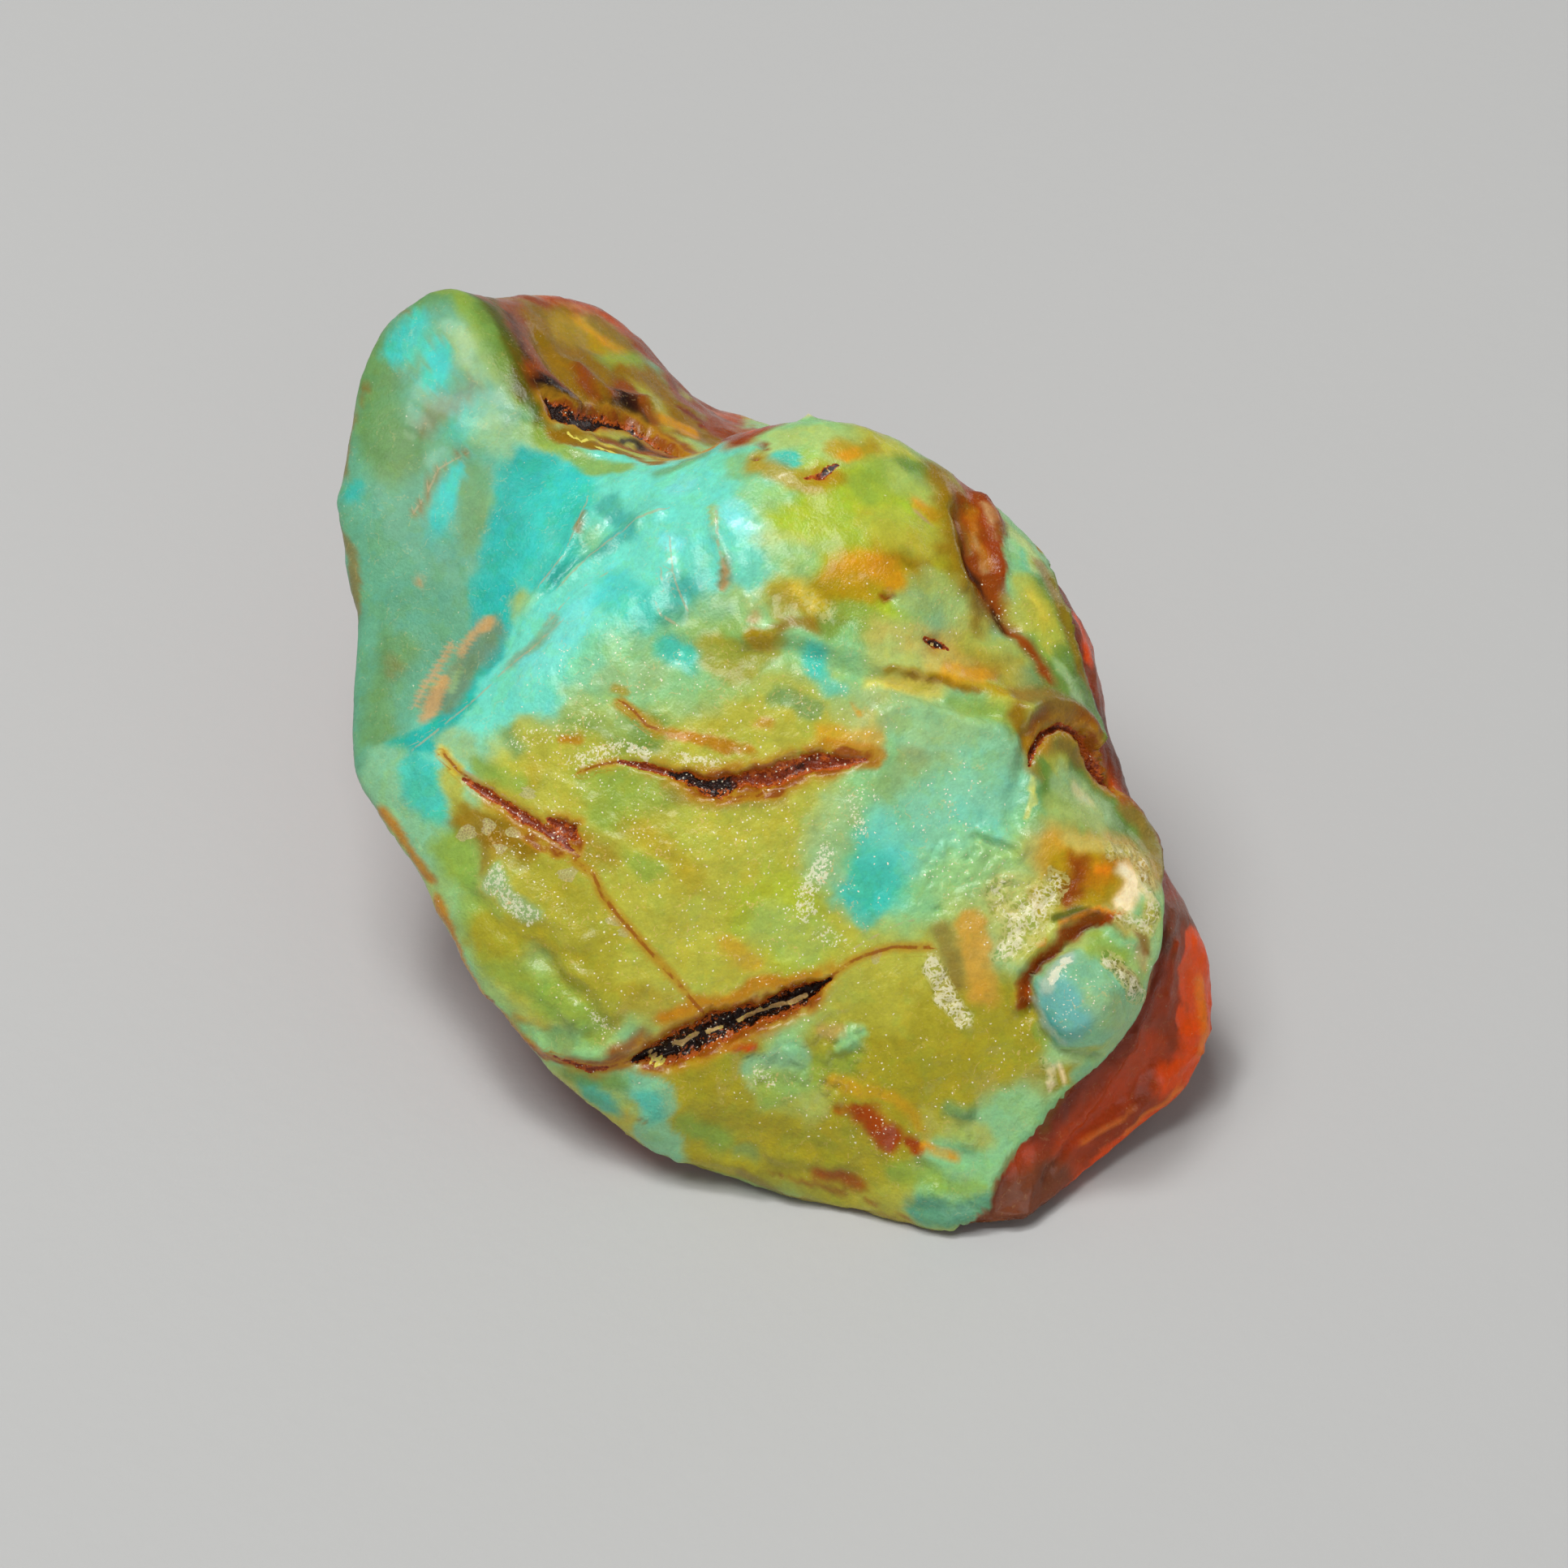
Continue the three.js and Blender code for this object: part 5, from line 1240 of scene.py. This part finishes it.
def relief(surface, sizes, fields, clear, crack_depth):
    """Height over the smooth surface in mm.

    Lumps and grain all over the rind, less where it is smooth; pebbles and crust where they
    are marked; hills, ribs and cracks one by one; scallops with sharp ridges on the clear
    amber; and a step down at the rind's edge.
    """
    points = surface.wandering
    calm = 1 - 0.75 * fields["smooth"]
    lumps = cloud(points, 3.4, seed=3) + 0.55 * cloud(points, 1.5, seed=5)
    grain = cloud(points, 0.75, seed=7, layers=3)
    rind = calm * (sizes.lump_height / MM * lumps + sizes.grain_height / MM * grain)
    nearest, following = cell_distances(points, PEBBLE_SIZE, seed=81)
    rind += fields["pebbled"] * sizes.pebble_height / MM * (smoothstep(0, 0.5, following - nearest) - 0.5)
    winding = np.abs(cloud(points, 0.8, seed=91, layers=2))
    rind += fields["crusted"] * sizes.crust_height / MM * (smoothstep(0.02, 0.2, winding) - 0.6)
    for height, radius, place in HILLS:
        distance, _ = surface.nearest((place,))
        rind += height * np.exp(-(distance / radius) ** 2.4)
    for height, half_width, *route in RIBS:
        distance, _ = surface.nearest(route, wandering=0.6)
        rind += height * np.exp(-(distance / half_width) ** 2)
    bowl, _ = cell_distances(points, SCALLOP_SIZE, seed=95)
    chip, _ = cell_distances(points, CHIP_SIZE, seed=97)
    scallop = bowl ** 2 + CHIP_SHARE * chip ** 2
    ripple = RIPPLE_HEIGHT * np.sin(2 * math.pi * bowl * SCALLOP_SIZE / RIPPLE_SPACING)
    bare = sizes.scallop_height / MM * (1.6 * scallop - 0.6) + ripple
    bare += 0.04 * cloud(points, 1.1, seed=99, layers=3)
    for height, half_width, *route in BREAKS:
        distance, _ = surface.nearest(route, wandering=0.3)
        bare += height * np.exp(-distance / half_width)
    shown = smoothstep(-0.12, 0.12, clear)
    step = sizes.rind_step / MM * shown
    return rind * (1 - shown) + bare * shown - step + crack_depth


def rind_tint(surface, colours, clear):
    """Colour of every point: a wandering ground of the stone's own colours, then the stains in order, among
    them painted shade, highlight and glow.
    """
    def paint(name):
        return np.array(getattr(colours, name))

    points = surface.wandering
    warm = smoothstep(-0.35, 0.35, cloud(points, 7, seed=41, layers=2))[:, None]
    cool = smoothstep(-0.1, 0.5, cloud(points, 4.5, seed=43, layers=2))[:, None]
    brown = smoothstep(0.25, 0.6, cloud(points, 3.2, seed=47, layers=3))[:, None]
    tint = blend(paint("mint"), paint("gold"), warm)
    tint = blend(tint, paint("turquoise"), cool)
    tint = blend(tint, paint("amber"), 0.7 * brown)
    for name, half_width, softness, strength, *route in STAINS:
        share = strength * surface.cover(half_width, softness, *route)
        tint = blend(tint, paint(name), share[:, None])
    margin = np.exp(-(clear / MARGIN) ** 2)[:, None] * (surface.facing < 0.15)[:, None]
    tint = blend(tint, paint("amber"), 0.8 * margin)
    bare = smoothstep(-0.05, 0.1, clear)[:, None]
    # patches of painted glow of light through the clear amber, under a scuffed haze
    glowing = smoothstep(0.0, 0.5, cloud(points, 6, seed=63, layers=3))[:, None]
    scuffed = smoothstep(0.1, 0.6, cloud(points, 3, seed=65, layers=4))[:, None]
    inner = blend(paint("haze"), paint("ember"), 0.7 * glowing)
    inner = blend(inner, paint("mauve"), 0.8 * scuffed)
    tint = blend(tint, inner, bare)
    for name, half_width, softness, strength, *route in WEDGE_STAINS:
        share = strength * surface.cover(half_width, softness, *route)[:, None] * bare
        tint = blend(tint, paint(name), share)
    return tint ** TINT_DEPTH * TINT_WARMTH


# ------------------------------------------------------------------ meshes


def make_object(name, points, faces, material, smooth=True):
    """A mesh object at the origin, from points in mm and faces of equal length."""
    mesh = bpy.data.meshes.new(name)
    mesh.from_pydata((points * MM).tolist(), [], faces.tolist())
    mesh.polygons.foreach_set("use_smooth", np.full(len(faces), smooth))
    mesh.materials.append(material)
    mesh.update()
    thing = bpy.data.objects.new(name, mesh)
    bpy.context.scene.collection.objects.link(thing)
    return thing


def add_field(mesh, name, values):
    """Keeps a number at every point of a mesh for its material to read."""
    field = mesh.attributes.new(name, "FLOAT", "POINT")
    field.data.foreach_set("value", values.astype(np.float32))


def add_tint(mesh, name, colours):
    """Keeps a colour at every point of a mesh for its material to read."""
    field = mesh.attributes.new(name, "FLOAT_VECTOR", "POINT")
    field.data.foreach_set("vector", colours.astype(np.float32).ravel())


# ------------------------------------------------------------------ shader nodes


class Wire:
    """A node's output that arithmetic can be written on. Each operation adds its Math node."""

    def __init__(self, sheet, socket):
        self.sheet = sheet
        self.socket = socket

    def __add__(self, other):
        return self.sheet.math("ADD", self, other)

    def __radd__(self, other):
        return self.sheet.math("ADD", other, self)

    def __sub__(self, other):
        return self.sheet.math("SUBTRACT", self, other)

    def __rsub__(self, other):
        return self.sheet.math("SUBTRACT", other, self)

    def __mul__(self, other):
        return self.sheet.math("MULTIPLY", self, other)

    def __rmul__(self, other):
        return self.sheet.math("MULTIPLY", other, self)

    def __abs__(self):
        return self.sheet.math("ABSOLUTE", self)

    def rise(self, low, high):
        """0 below low, 1 above high, with an S-shaped rise between; the other way if low is above high."""
        down = low > high
        node = self.sheet.node(
            "ShaderNodeMapRange",
            {"interpolation_type": "SMOOTHSTEP"},
            {"Value": self, "From Min": min(low, high), "From Max": max(low, high),
             "To Min": 1.0 if down else 0.0, "To Max": 0.0 if down else 1.0})
        return self.sheet.out(node, "Result")


class Sheet:
    """The node tree of one material."""

    def __init__(self, name):
        self.material = bpy.data.materials.new(name)
        self.material.use_nodes = True
        self.tree = self.material.node_tree
        self.tree.nodes.clear()

    def node(self, kind, settings=None, sockets=None):
        """Adds a node: its settings first, then the values or links of its sockets."""
        node = self.tree.nodes.new(kind)
        for name, value in (settings or {}).items():
            setattr(node, name, value)
        for name, value in (sockets or {}).items():
            if isinstance(value, Wire):
                self.tree.links.new(value.socket, node.inputs[name])
            else:
                node.inputs[name].default_value = value
        return node

    def out(self, node, name=0):
        """A node's output, ready for arithmetic."""
        return Wire(self, node.outputs[name])

    def math(self, operation, *values):
        """The result of a Math node."""
        return self.out(self.node("ShaderNodeMath", {"operation": operation}, dict(enumerate(values))))

    def mix(self, share, low, high):
        """Blends two colours."""
        low, high = (value if isinstance(value, Wire) else (*value, 1.0) for value in (low, high))
        node = self.node("ShaderNodeMix", {"data_type": "RGBA"}, {0: share, 6: low, 7: high})
        return self.out(node, 2)

    def scaled(self, vector, share):
        """A colour or a place times a number."""
        node = self.node("ShaderNodeVectorMath", {"operation": "SCALE"}, {0: vector, "Scale": share})
        return self.out(node)

    def tinted(self, vector, shares):
        """A colour or a place times three numbers."""
        node = self.node("ShaderNodeVectorMath", {"operation": "MULTIPLY"}, {0: vector, 1: shares})
        return self.out(node)

    def field(self, name):
        """A number kept at the mesh's points."""
        return self.out(self.node("ShaderNodeAttribute", {"attribute_name": name}), "Fac")

    def noise(self, place, size, detail=2, roughness=0.55):
        """Noise from 0 to 1 whose lumps are about size across, in the units of place."""
        node = self.node(
            "ShaderNodeTexNoise", None,
            {"Vector": place, "Scale": 1 / size, "Detail": detail, "Roughness": roughness})
        return self.out(node, 0)

    def bent(self, place, size, amount):
        """The place pushed about by noise, so that a pattern laid on it wanders."""
        push = self.node("ShaderNodeTexNoise", None, {"Vector": place, "Scale": 1 / size, "Detail": 2.0})
        node = self.node(
            "ShaderNodeVectorMath", {"operation": "MULTIPLY_ADD"},
            {0: self.out(push, "Color"), 1: (amount, amount, amount), 2: place})
        return self.out(node)

    def walls(self, place, size):
        """Distance, in cells, to the nearest wall of a pattern of rounded cells."""
        node = self.node(
            "ShaderNodeTexVoronoi", {"feature": "DISTANCE_TO_EDGE"}, {"Vector": place, "Scale": 1 / size})
        return self.out(node, "Distance")

    def grains(self, place, size):
        """Scattered grains, one to a cell.

        Distance from the grain's middle in cells, and the cell's random number.
        """
        node = self.node("ShaderNodeTexVoronoi", None, {"Vector": place, "Scale": 1 / size})
        split = self.node("ShaderNodeSeparateColor", None, {0: self.out(node, "Color")})
        return self.out(node, "Distance"), self.out(split, 0)


# Shares of a colour's red, green and blue.
WARMER = (1.15, 0.98, 0.6)
COOLER = (0.8, 1.04, 1.25)
PITTED = (0.6, 0.7, 0.4)


def rind_colour(sheet, colours, place, masks):
    """The stains mottled with noise, then crust, frost, flecks, halos, seams, cracks and painted sparkle
    highlights.
    """
    def paint(name):
        return tuple(getattr(colours, name))

    colour = sheet.out(sheet.node("ShaderNodeAttribute", {"attribute_name": "tint"}), "Vector")
    colour = sheet.scaled(colour, 1 + 0.5 * masks["mottle"] + 0.35 * masks["ragged"] + 0.25 * masks["fine"])
    warm = sheet.noise(place, 0.85, detail=3, roughness=0.62).rise(0.5, 0.62)
    colour = sheet.mix(0.35 * warm, colour, sheet.tinted(colour, WARMER))
    cool = sheet.noise(place, 1.1, detail=3, roughness=0.65).rise(0.5, 0.38)
    colour = sheet.mix(0.35 * cool, colour, sheet.tinted(colour, COOLER))
    colour = sheet.mix(masks["pits"] * 0.6, colour, sheet.tinted(colour, PITTED))
    colour = sheet.mix(masks["crust"] * 0.55, colour, paint("cream"))
    colour = sheet.mix(masks["crust_top"], colour, paint("white"))
    # frost grains in the near-white that the painted sparkle highlights also use
    colour = sheet.mix(masks["frost"] * 0.6, colour, paint("glint"))
    colour = sheet.mix(masks["fleck"] * 0.5, colour, paint("fleck"))
    colour = sheet.mix(masks["fleck_rim"] * 0.8, colour, paint("cream"))
    colour = sheet.mix(masks["outline"] * 0.6, colour, paint("gilt"))
    colour = sheet.mix(masks["stained"] * 0.8, colour, paint("amber"))
    colour = sheet.mix(masks["rust"] * 0.9, colour, paint("rust"))
    colour = sheet.mix(masks["glow"] * 0.75, colour, paint("amber"))
    colour = sheet.mix(masks["seam"] * 0.75, colour, paint("rust"))
    colour = sheet.mix(masks["pale_seam"] * 0.5, colour, paint("salmon"))
    cleft = sheet.mix(masks["clots"], paint("maroon"), paint("rust_orange"))
    colour = sheet.mix(masks["cleft"], colour, cleft)
    colour = sheet.mix(masks["pitch"], colour, paint("umber"))
    colour = sheet.mix(masks["filled"], colour, sheet.mix(masks["clots"], paint("gilt"), paint("sulphur")))
    # painted sparkle highlights laid over everything in near-white
    return sheet.mix(masks["glint"], colour, paint("glint"))


def rind_masks(sheet, place):
    """Where each finish of the rind shows.

    The stone's fields say where, and noise makes their edges crisp.
    """
    ragged = sheet.noise(place, 0.28, detail=3) - 0.5
    fine = sheet.noise(place, 0.1) - 0.5
    broad = sheet.noise(place, 0.7) - 0.5
    mottle = sheet.noise(place, 1.3, detail=3) - 0.5
    crust = sheet.field("crusted")
    frosted = sheet.field("frosted")
    flecked = sheet.field("flecked")
    glinting = sheet.field("glinting")
    bent = sheet.bent(place, 0.3, amount=0.6)
    lace = (sheet.walls(bent, 0.26) - 0.25 * broad).rise(0.26, 0.06)
    crusty = (crust + 0.6 * ragged + 0.5 * broad).rise(0.38, 0.5)
    inward = sheet.field("inward") + 0.6 * ragged + 0.35 * fine
    cleft = inward.rise(1.05, 0.85)
    clots = (1.6 * ragged + 1.4 * fine + 0.9 * (inward - 0.6)).rise(-0.3, 0.3)
    pitch = (sheet.field("pitch") + 0.8 * broad + 0.8 * ragged).rise(0.4, 0.7)
    pitch = pitch * (inward + 0.4 * fine).rise(0.95, 0.6)
    halo = sheet.field("halo") + sheet.field("rusted")
    outline = abs(sheet.noise(place, 1.25) - 0.52).rise(0.012, 0.004)
    dotted = fine.rise(0.0, 0.06)
    rust_side = abs(sheet.field("rust_side") + 1.4 * ragged + 0.8 * fine)
    rust_near = sheet.field("rust_near")
    pale_side = abs(sheet.field("pale_side") + 1.8 * ragged + 0.8 * fine)
    broken = (broad + 0.6 * ragged).rise(-0.16, 0.04)
    # painted sparkle highlights: small bright specks scattered one to a cell, clustered by noise, more in
    # frost and in cracks
    stirred = sheet.bent(place, 0.12, amount=0.14)
    distance, number = sheet.grains(stirred, 0.25)
    grouped = (mottle + 0.6 * broad).rise(-0.12, 0.16)
    chosen = 0.02 + (0.12 + 0.5 * grouped) * glinting + 0.5 * frosted - number
    glint = (distance + 0.16 * number).rise(0.19, 0.08) * chosen.rise(0.0, 0.05)
    small, chance = sheet.grains(stirred, 0.13)
    share = 0.02 + (0.1 + 0.35 * grouped) * glinting + 0.7 * frosted + 0.2 * cleft
    speck_highlights = small.rise(0.3, 0.16) * (share - chance).rise(0.0, 0.04)
    cells = sheet.walls(place, 0.11)
    fleck = (flecked + 0.5 * ragged).rise(0.4, 0.5)
    return {
        "ragged": ragged,
        "fine": fine,
        "broad": broad,
        "mottle": mottle,
        "crusty": crusty,
        "crust": crusty * lace,
        "crust_top": crusty * lace * (crust + 0.9 * ragged).rise(0.8, 1.0) * 0.5,
        "pits": crusty * (1 - lace),
        "frost": (frosted + 1.3 * fine + 0.9 * ragged).rise(0.5, 0.68),
        "fleck": fleck,
        "fleck_rim": fleck * cells.rise(0.12, 0.04),
        "outline": outline * dotted * (0.25 + frosted + 0.6 * glinting),
        "stained": (halo * (1 + 1.8 * broad)).rise(0.12, 0.7),
        "rust": (halo * (0.95 + 1.3 * broad + 0.6 * ragged)).rise(0.5, 0.95),
        "glow": rust_side.rise(5.5, 0.5) * rust_near.rise(0.2, 0.8),
        "seam": rust_side.rise(1.4, 0.6) * rust_near.rise(0.5, 0.8) * broken,
        "pale_seam": pale_side.rise(1.3, 0.6) * sheet.field("pale_near").rise(0.5, 0.8) * broken,
        "cleft": cleft,
        "clots": clots,
        "pitch": cleft * pitch * clots.rise(1.1, 0.5),
        "filled": (sheet.field("filled") + 0.7 * ragged + 0.3 * fine).rise(0.34, 0.5),
        "glint": sheet.math("MAXIMUM", glint, speck_highlights),
    }


AMBER_GLASS = (1.0, 0.86, 0.68)      # what a clear break lets through
AMBER_BODY = (0.99, 0.5, 0.1)        # what the clear amber lets through on the way
AMBER_DENSITY = 650.0                # how fast it darkens, for each metre


def amber_material(colours):
    """One material for the whole stone.

    Waxy rind in front, and clear red amber where the rind is broken away.
    """
    sheet = Sheet("amber_stone")
    corner = sheet.out(sheet.node("ShaderNodeTexCoord"), "Object")
    place = sheet.scaled(corner, 1 / MM)
    masks = rind_masks(sheet, place)

    fine = sheet.noise(place, 0.5, roughness=0.6)
    smooth = sheet.field("smooth")
    height = fine * (1 - 0.85 * smooth) + 0.5 * masks["fine"] + 0.6 * masks["crusty"] * masks["ragged"]
    height = height + masks["cleft"] * (2.0 * masks["ragged"] + 1.4 * masks["fine"])
    bump = sheet.node("ShaderNodeBump", None, {"Strength": 0.55, "Distance": 0.1 * MM, "Height": height})
    edge = sheet.field("clear") + 0.25 * masks["ragged"]
    bare = edge.rise(-0.04, 0.04)
    rind = sheet.node(
        "ShaderNodeBsdfPrincipled", None,
        {
            "Base Color": rind_colour(sheet, colours, place, masks),
            "Roughness": (
                0.26 + 0.3 * masks["broad"] + 0.2 * masks["crust"] + 0.1 * masks["frost"] + 0.22 * smooth),
            "Subsurface Weight": 0.18,
            "Subsurface Radius": (1.0, 0.8, 0.5),
            "Subsurface Scale": 0.4 * MM,
            "IOR": 1.5,
            "Coat Weight": 0.2 - 0.17 * sheet.math("MAXIMUM", bare, smooth),
            "Specular IOR Level": 0.2,
            "Coat Roughness": 0.07,
            "Normal": sheet.out(bump),
        })

    ripple = sheet.noise(sheet.tinted(place, (1.0, 0.35, 1.4)), 0.5, detail=3)
    glass_bump = sheet.node(
        "ShaderNodeBump", None, {"Strength": 0.35, "Distance": 0.08 * MM, "Height": ripple + 0.25 * fine})
    glass = sheet.node(
        "ShaderNodeBsdfPrincipled", None,
        {
            "Base Color": (*AMBER_GLASS, 1.0),
            "Roughness": 0.15 + 0.2 * masks["broad"],
            "Transmission Weight": 1.0,
            "Specular IOR Level": 0.25,
            "IOR": 1.54,
            "Normal": sheet.out(glass_bump),
        })
    share = bare * (0.2 + 0.4 * masks["mottle"])
    surface = sheet.node(
        "ShaderNodeMixShader", None, {0: share, 1: sheet.out(rind), 2: sheet.out(glass)})
    inside = sheet.node(
        "ShaderNodeVolumeAbsorption", None, {"Color": (*AMBER_BODY, 1.0), "Density": AMBER_DENSITY})
    sheet.node(
        "ShaderNodeOutputMaterial", None, {"Surface": sheet.out(surface), "Volume": sheet.out(inside)})
    return sheet.material


def floor_material(colour):
    """Plain pale board with a faint even tooth."""
    sheet = Sheet("pale_board")
    corner = sheet.out(sheet.node("ShaderNodeTexCoord"), "Object")
    tooth = sheet.noise(sheet.scaled(corner, 1 / MM), 0.8, detail=4)
    bump = sheet.node("ShaderNodeBump", None, {"Strength": 0.15, "Distance": 0.2 * MM, "Height": tooth})
    board = sheet.node(
        "ShaderNodeBsdfPrincipled", None,
        {"Base Color": (*colour, 1.0), "Roughness": 0.75, "Normal": sheet.out(bump)})
    sheet.node("ShaderNodeOutputMaterial", None, {"Surface": sheet.out(board)})
    return sheet.material


# ------------------------------------------------------------------ operators


class AMBER_OT_stone(bpy.types.Operator):
    """Build the amber nodule with its rind, cracks, crust and clear wedge"""

    bl_idname = "amber.stone"
    bl_label = "Amber Nodule"

    def execute(self, context):
        sizes = context.scene.amber_sizes
        colours = context.scene.amber_colours
        surface = Surface(sizes)
        fields = finish_fields(surface)
        clear = clear_side(surface)
        inward, crack_depth, halo = crack_fields(surface)
        rust_side, rust_near = seam_fields(surface, RUST_SEAMS)
        pale_side, pale_near = seam_fields(surface, PALE_SEAMS)
        height = relief(surface, sizes, fields, clear, crack_depth)
        points = surface.points + surface.normals * height[:, None]
        points[:, 2] = np.maximum(points[:, 2], 0)
        stone = make_object("amber_stone", points, surface.quads, amber_material(colours))
        add_tint(stone.data, "tint", rind_tint(surface, colours, clear))
        stored = {
            **fields, "clear": clear, "inward": inward, "halo": halo, "rust_side": rust_side,
            "rust_near": rust_near, "pale_side": pale_side, "pale_near": pale_near,
        }
        for name, values in stored.items():
            add_field(stone.data, name, values)
        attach(stone, "root")
        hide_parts("amber_nodule")
        return {"FINISHED"}


FLOOR_DROP = 0.05        # mm from the stone's foot down to the floor
SENSOR_WIDTH = 36.0      # mm

# Area lights: direction across, up and out of the front face, then distance and side in metres.
LIGHTS = {
    "key": ((-0.3, 0.8, 0.9), 0.45, 0.25),
    "fill": ((0.5, -0.9, 0.9), 0.5, 0.4),
    "spark": ((-0.3, 0.9, 0.7), 0.45, 0.07),
    "rim": ((1.0, 0.9, -0.6), 0.4, 0.16),
}


def add_floor(size, colour):
    """A square board just under the stone's foot."""
    half = size / 2 / MM
    corners = np.array([
        (x, y, -FLOOR_DROP) for x, y in ((-half, -half), (half, -half), (half, half), (-half, half))])
    floor = make_object("floor", corners, np.array([(0, 1, 2, 3)]), floor_material(colour), smooth=False)


def add_light(name, direction, distance, size, power, target):
    """A square area light in a direction given across, up and out of the front face, aimed at the target."""
    lamp = bpy.data.lights.new(name, "AREA")
    lamp.shape = "SQUARE"
    lamp.size = size
    lamp.energy = power
    light = bpy.data.objects.new(name, lamp)
    away = Vector((np.array(direction) @ FACE_AXES).tolist()).normalized()
    light.location = target + away * distance
    light.rotation_mode = "QUATERNION"
    light.rotation_quaternion = away.to_track_quat("Z", "Y")
    bpy.context.scene.collection.objects.link(light)


def add_surround(scene, strength):
    """An even white surround."""
    world = bpy.data.worlds.new("surround")
    world.use_nodes = True
    surround = world.node_tree.nodes["Background"]
    surround.inputs["Color"].default_value = (1.0, 1.0, 1.0, 1.0)
    surround.inputs["Strength"].default_value = strength
    scene.world = world


def add_camera(scene):
    """A camera that looks straight at the front face's plane, from over the place the eye looks at."""
    lens = bpy.data.cameras.new("camera")
    lens.sensor_width = SENSOR_WIDTH
    lens.lens = SENSOR_WIDTH * EYE_DISTANCE / VIEW_WIDTH
    lens.clip_start = 0.01
    lens.clip_end = 10.0
    camera = bpy.data.objects.new("camera", lens)
    aim = TOE + EYE_FOOT[0] * ACROSS + EYE_FOOT[1] * UP
    camera.location = (aim + EYE_DISTANCE * OUT) * MM
    camera.rotation_mode = "QUATERNION"
    camera.rotation_quaternion = Vector(OUT.tolist()).to_track_quat("Z", "Y")
    scene.collection.objects.link(camera)
    scene.camera = camera


class AMBER_OT_stage(bpy.types.Operator):
    """Set the pale floor, the soft lights, the surround and the camera"""

    bl_idname = "amber.stage"
    bl_label = "Stage"

    def execute(self, context):
        studio = context.scene.amber_studio
        add_floor(studio.floor_size, studio.floor_colour)
        centre = Vector(((CAD_BOX[0] + CAD_BOX[1]) / 2).to_tuple())
        for name, (direction, distance, size) in LIGHTS.items():
            add_light(name, direction, distance, size, getattr(studio, name + "_power"), centre)
        add_surround(context.scene, studio.sky_strength)
        context.scene.view_settings.view_transform = "Standard"
        add_camera(context.scene)
        return {"FINISHED"}


class AMBER_PT_panel(bpy.types.Panel):
    """Lists the pieces, their sizes and their colours"""

    bl_idname = "AMBER_PT_panel"
    bl_label = "Rough Blue Amber"
    bl_space_type = "VIEW_3D"
    bl_region_type = "UI"
    bl_category = "Amber"

    def draw(self, context):
        layout = self.layout
        for operator in OPERATORS:
            layout.operator(operator.bl_idname)
        for group in GROUPS.values():
            layout.label(text=group.__doc__)
        for name, group in GROUPS.items():
            column = layout.column()
            for key in group.__annotations__:
                column.prop(getattr(context.scene, name), key)


# ------------------------------------------------------------------ add-on

OPERATORS = (AMBER_OT_stage, AMBER_OT_stone)
GROUPS = {"amber_sizes": AmberSizes, "amber_colours": AmberColours, "amber_studio": AmberStudio}
CLASSES = (*GROUPS.values(), *OPERATORS, AMBER_PT_panel)


def register():
    for kind in CLASSES:
        bpy.utils.register_class(kind)
    for name, group in GROUPS.items():
        setattr(bpy.types.Scene, name, PointerProperty(type=group))


def unregister():
    for name in GROUPS:
        delattr(bpy.types.Scene, name)
    for kind in reversed(CLASSES):
        bpy.utils.unregister_class(kind)


def main():
    register()
    bpy.ops.amber.stage()
    bpy.ops.amber.stone()
    bpy.context.view_layer.update()


if __name__ == "__main__":
    main()
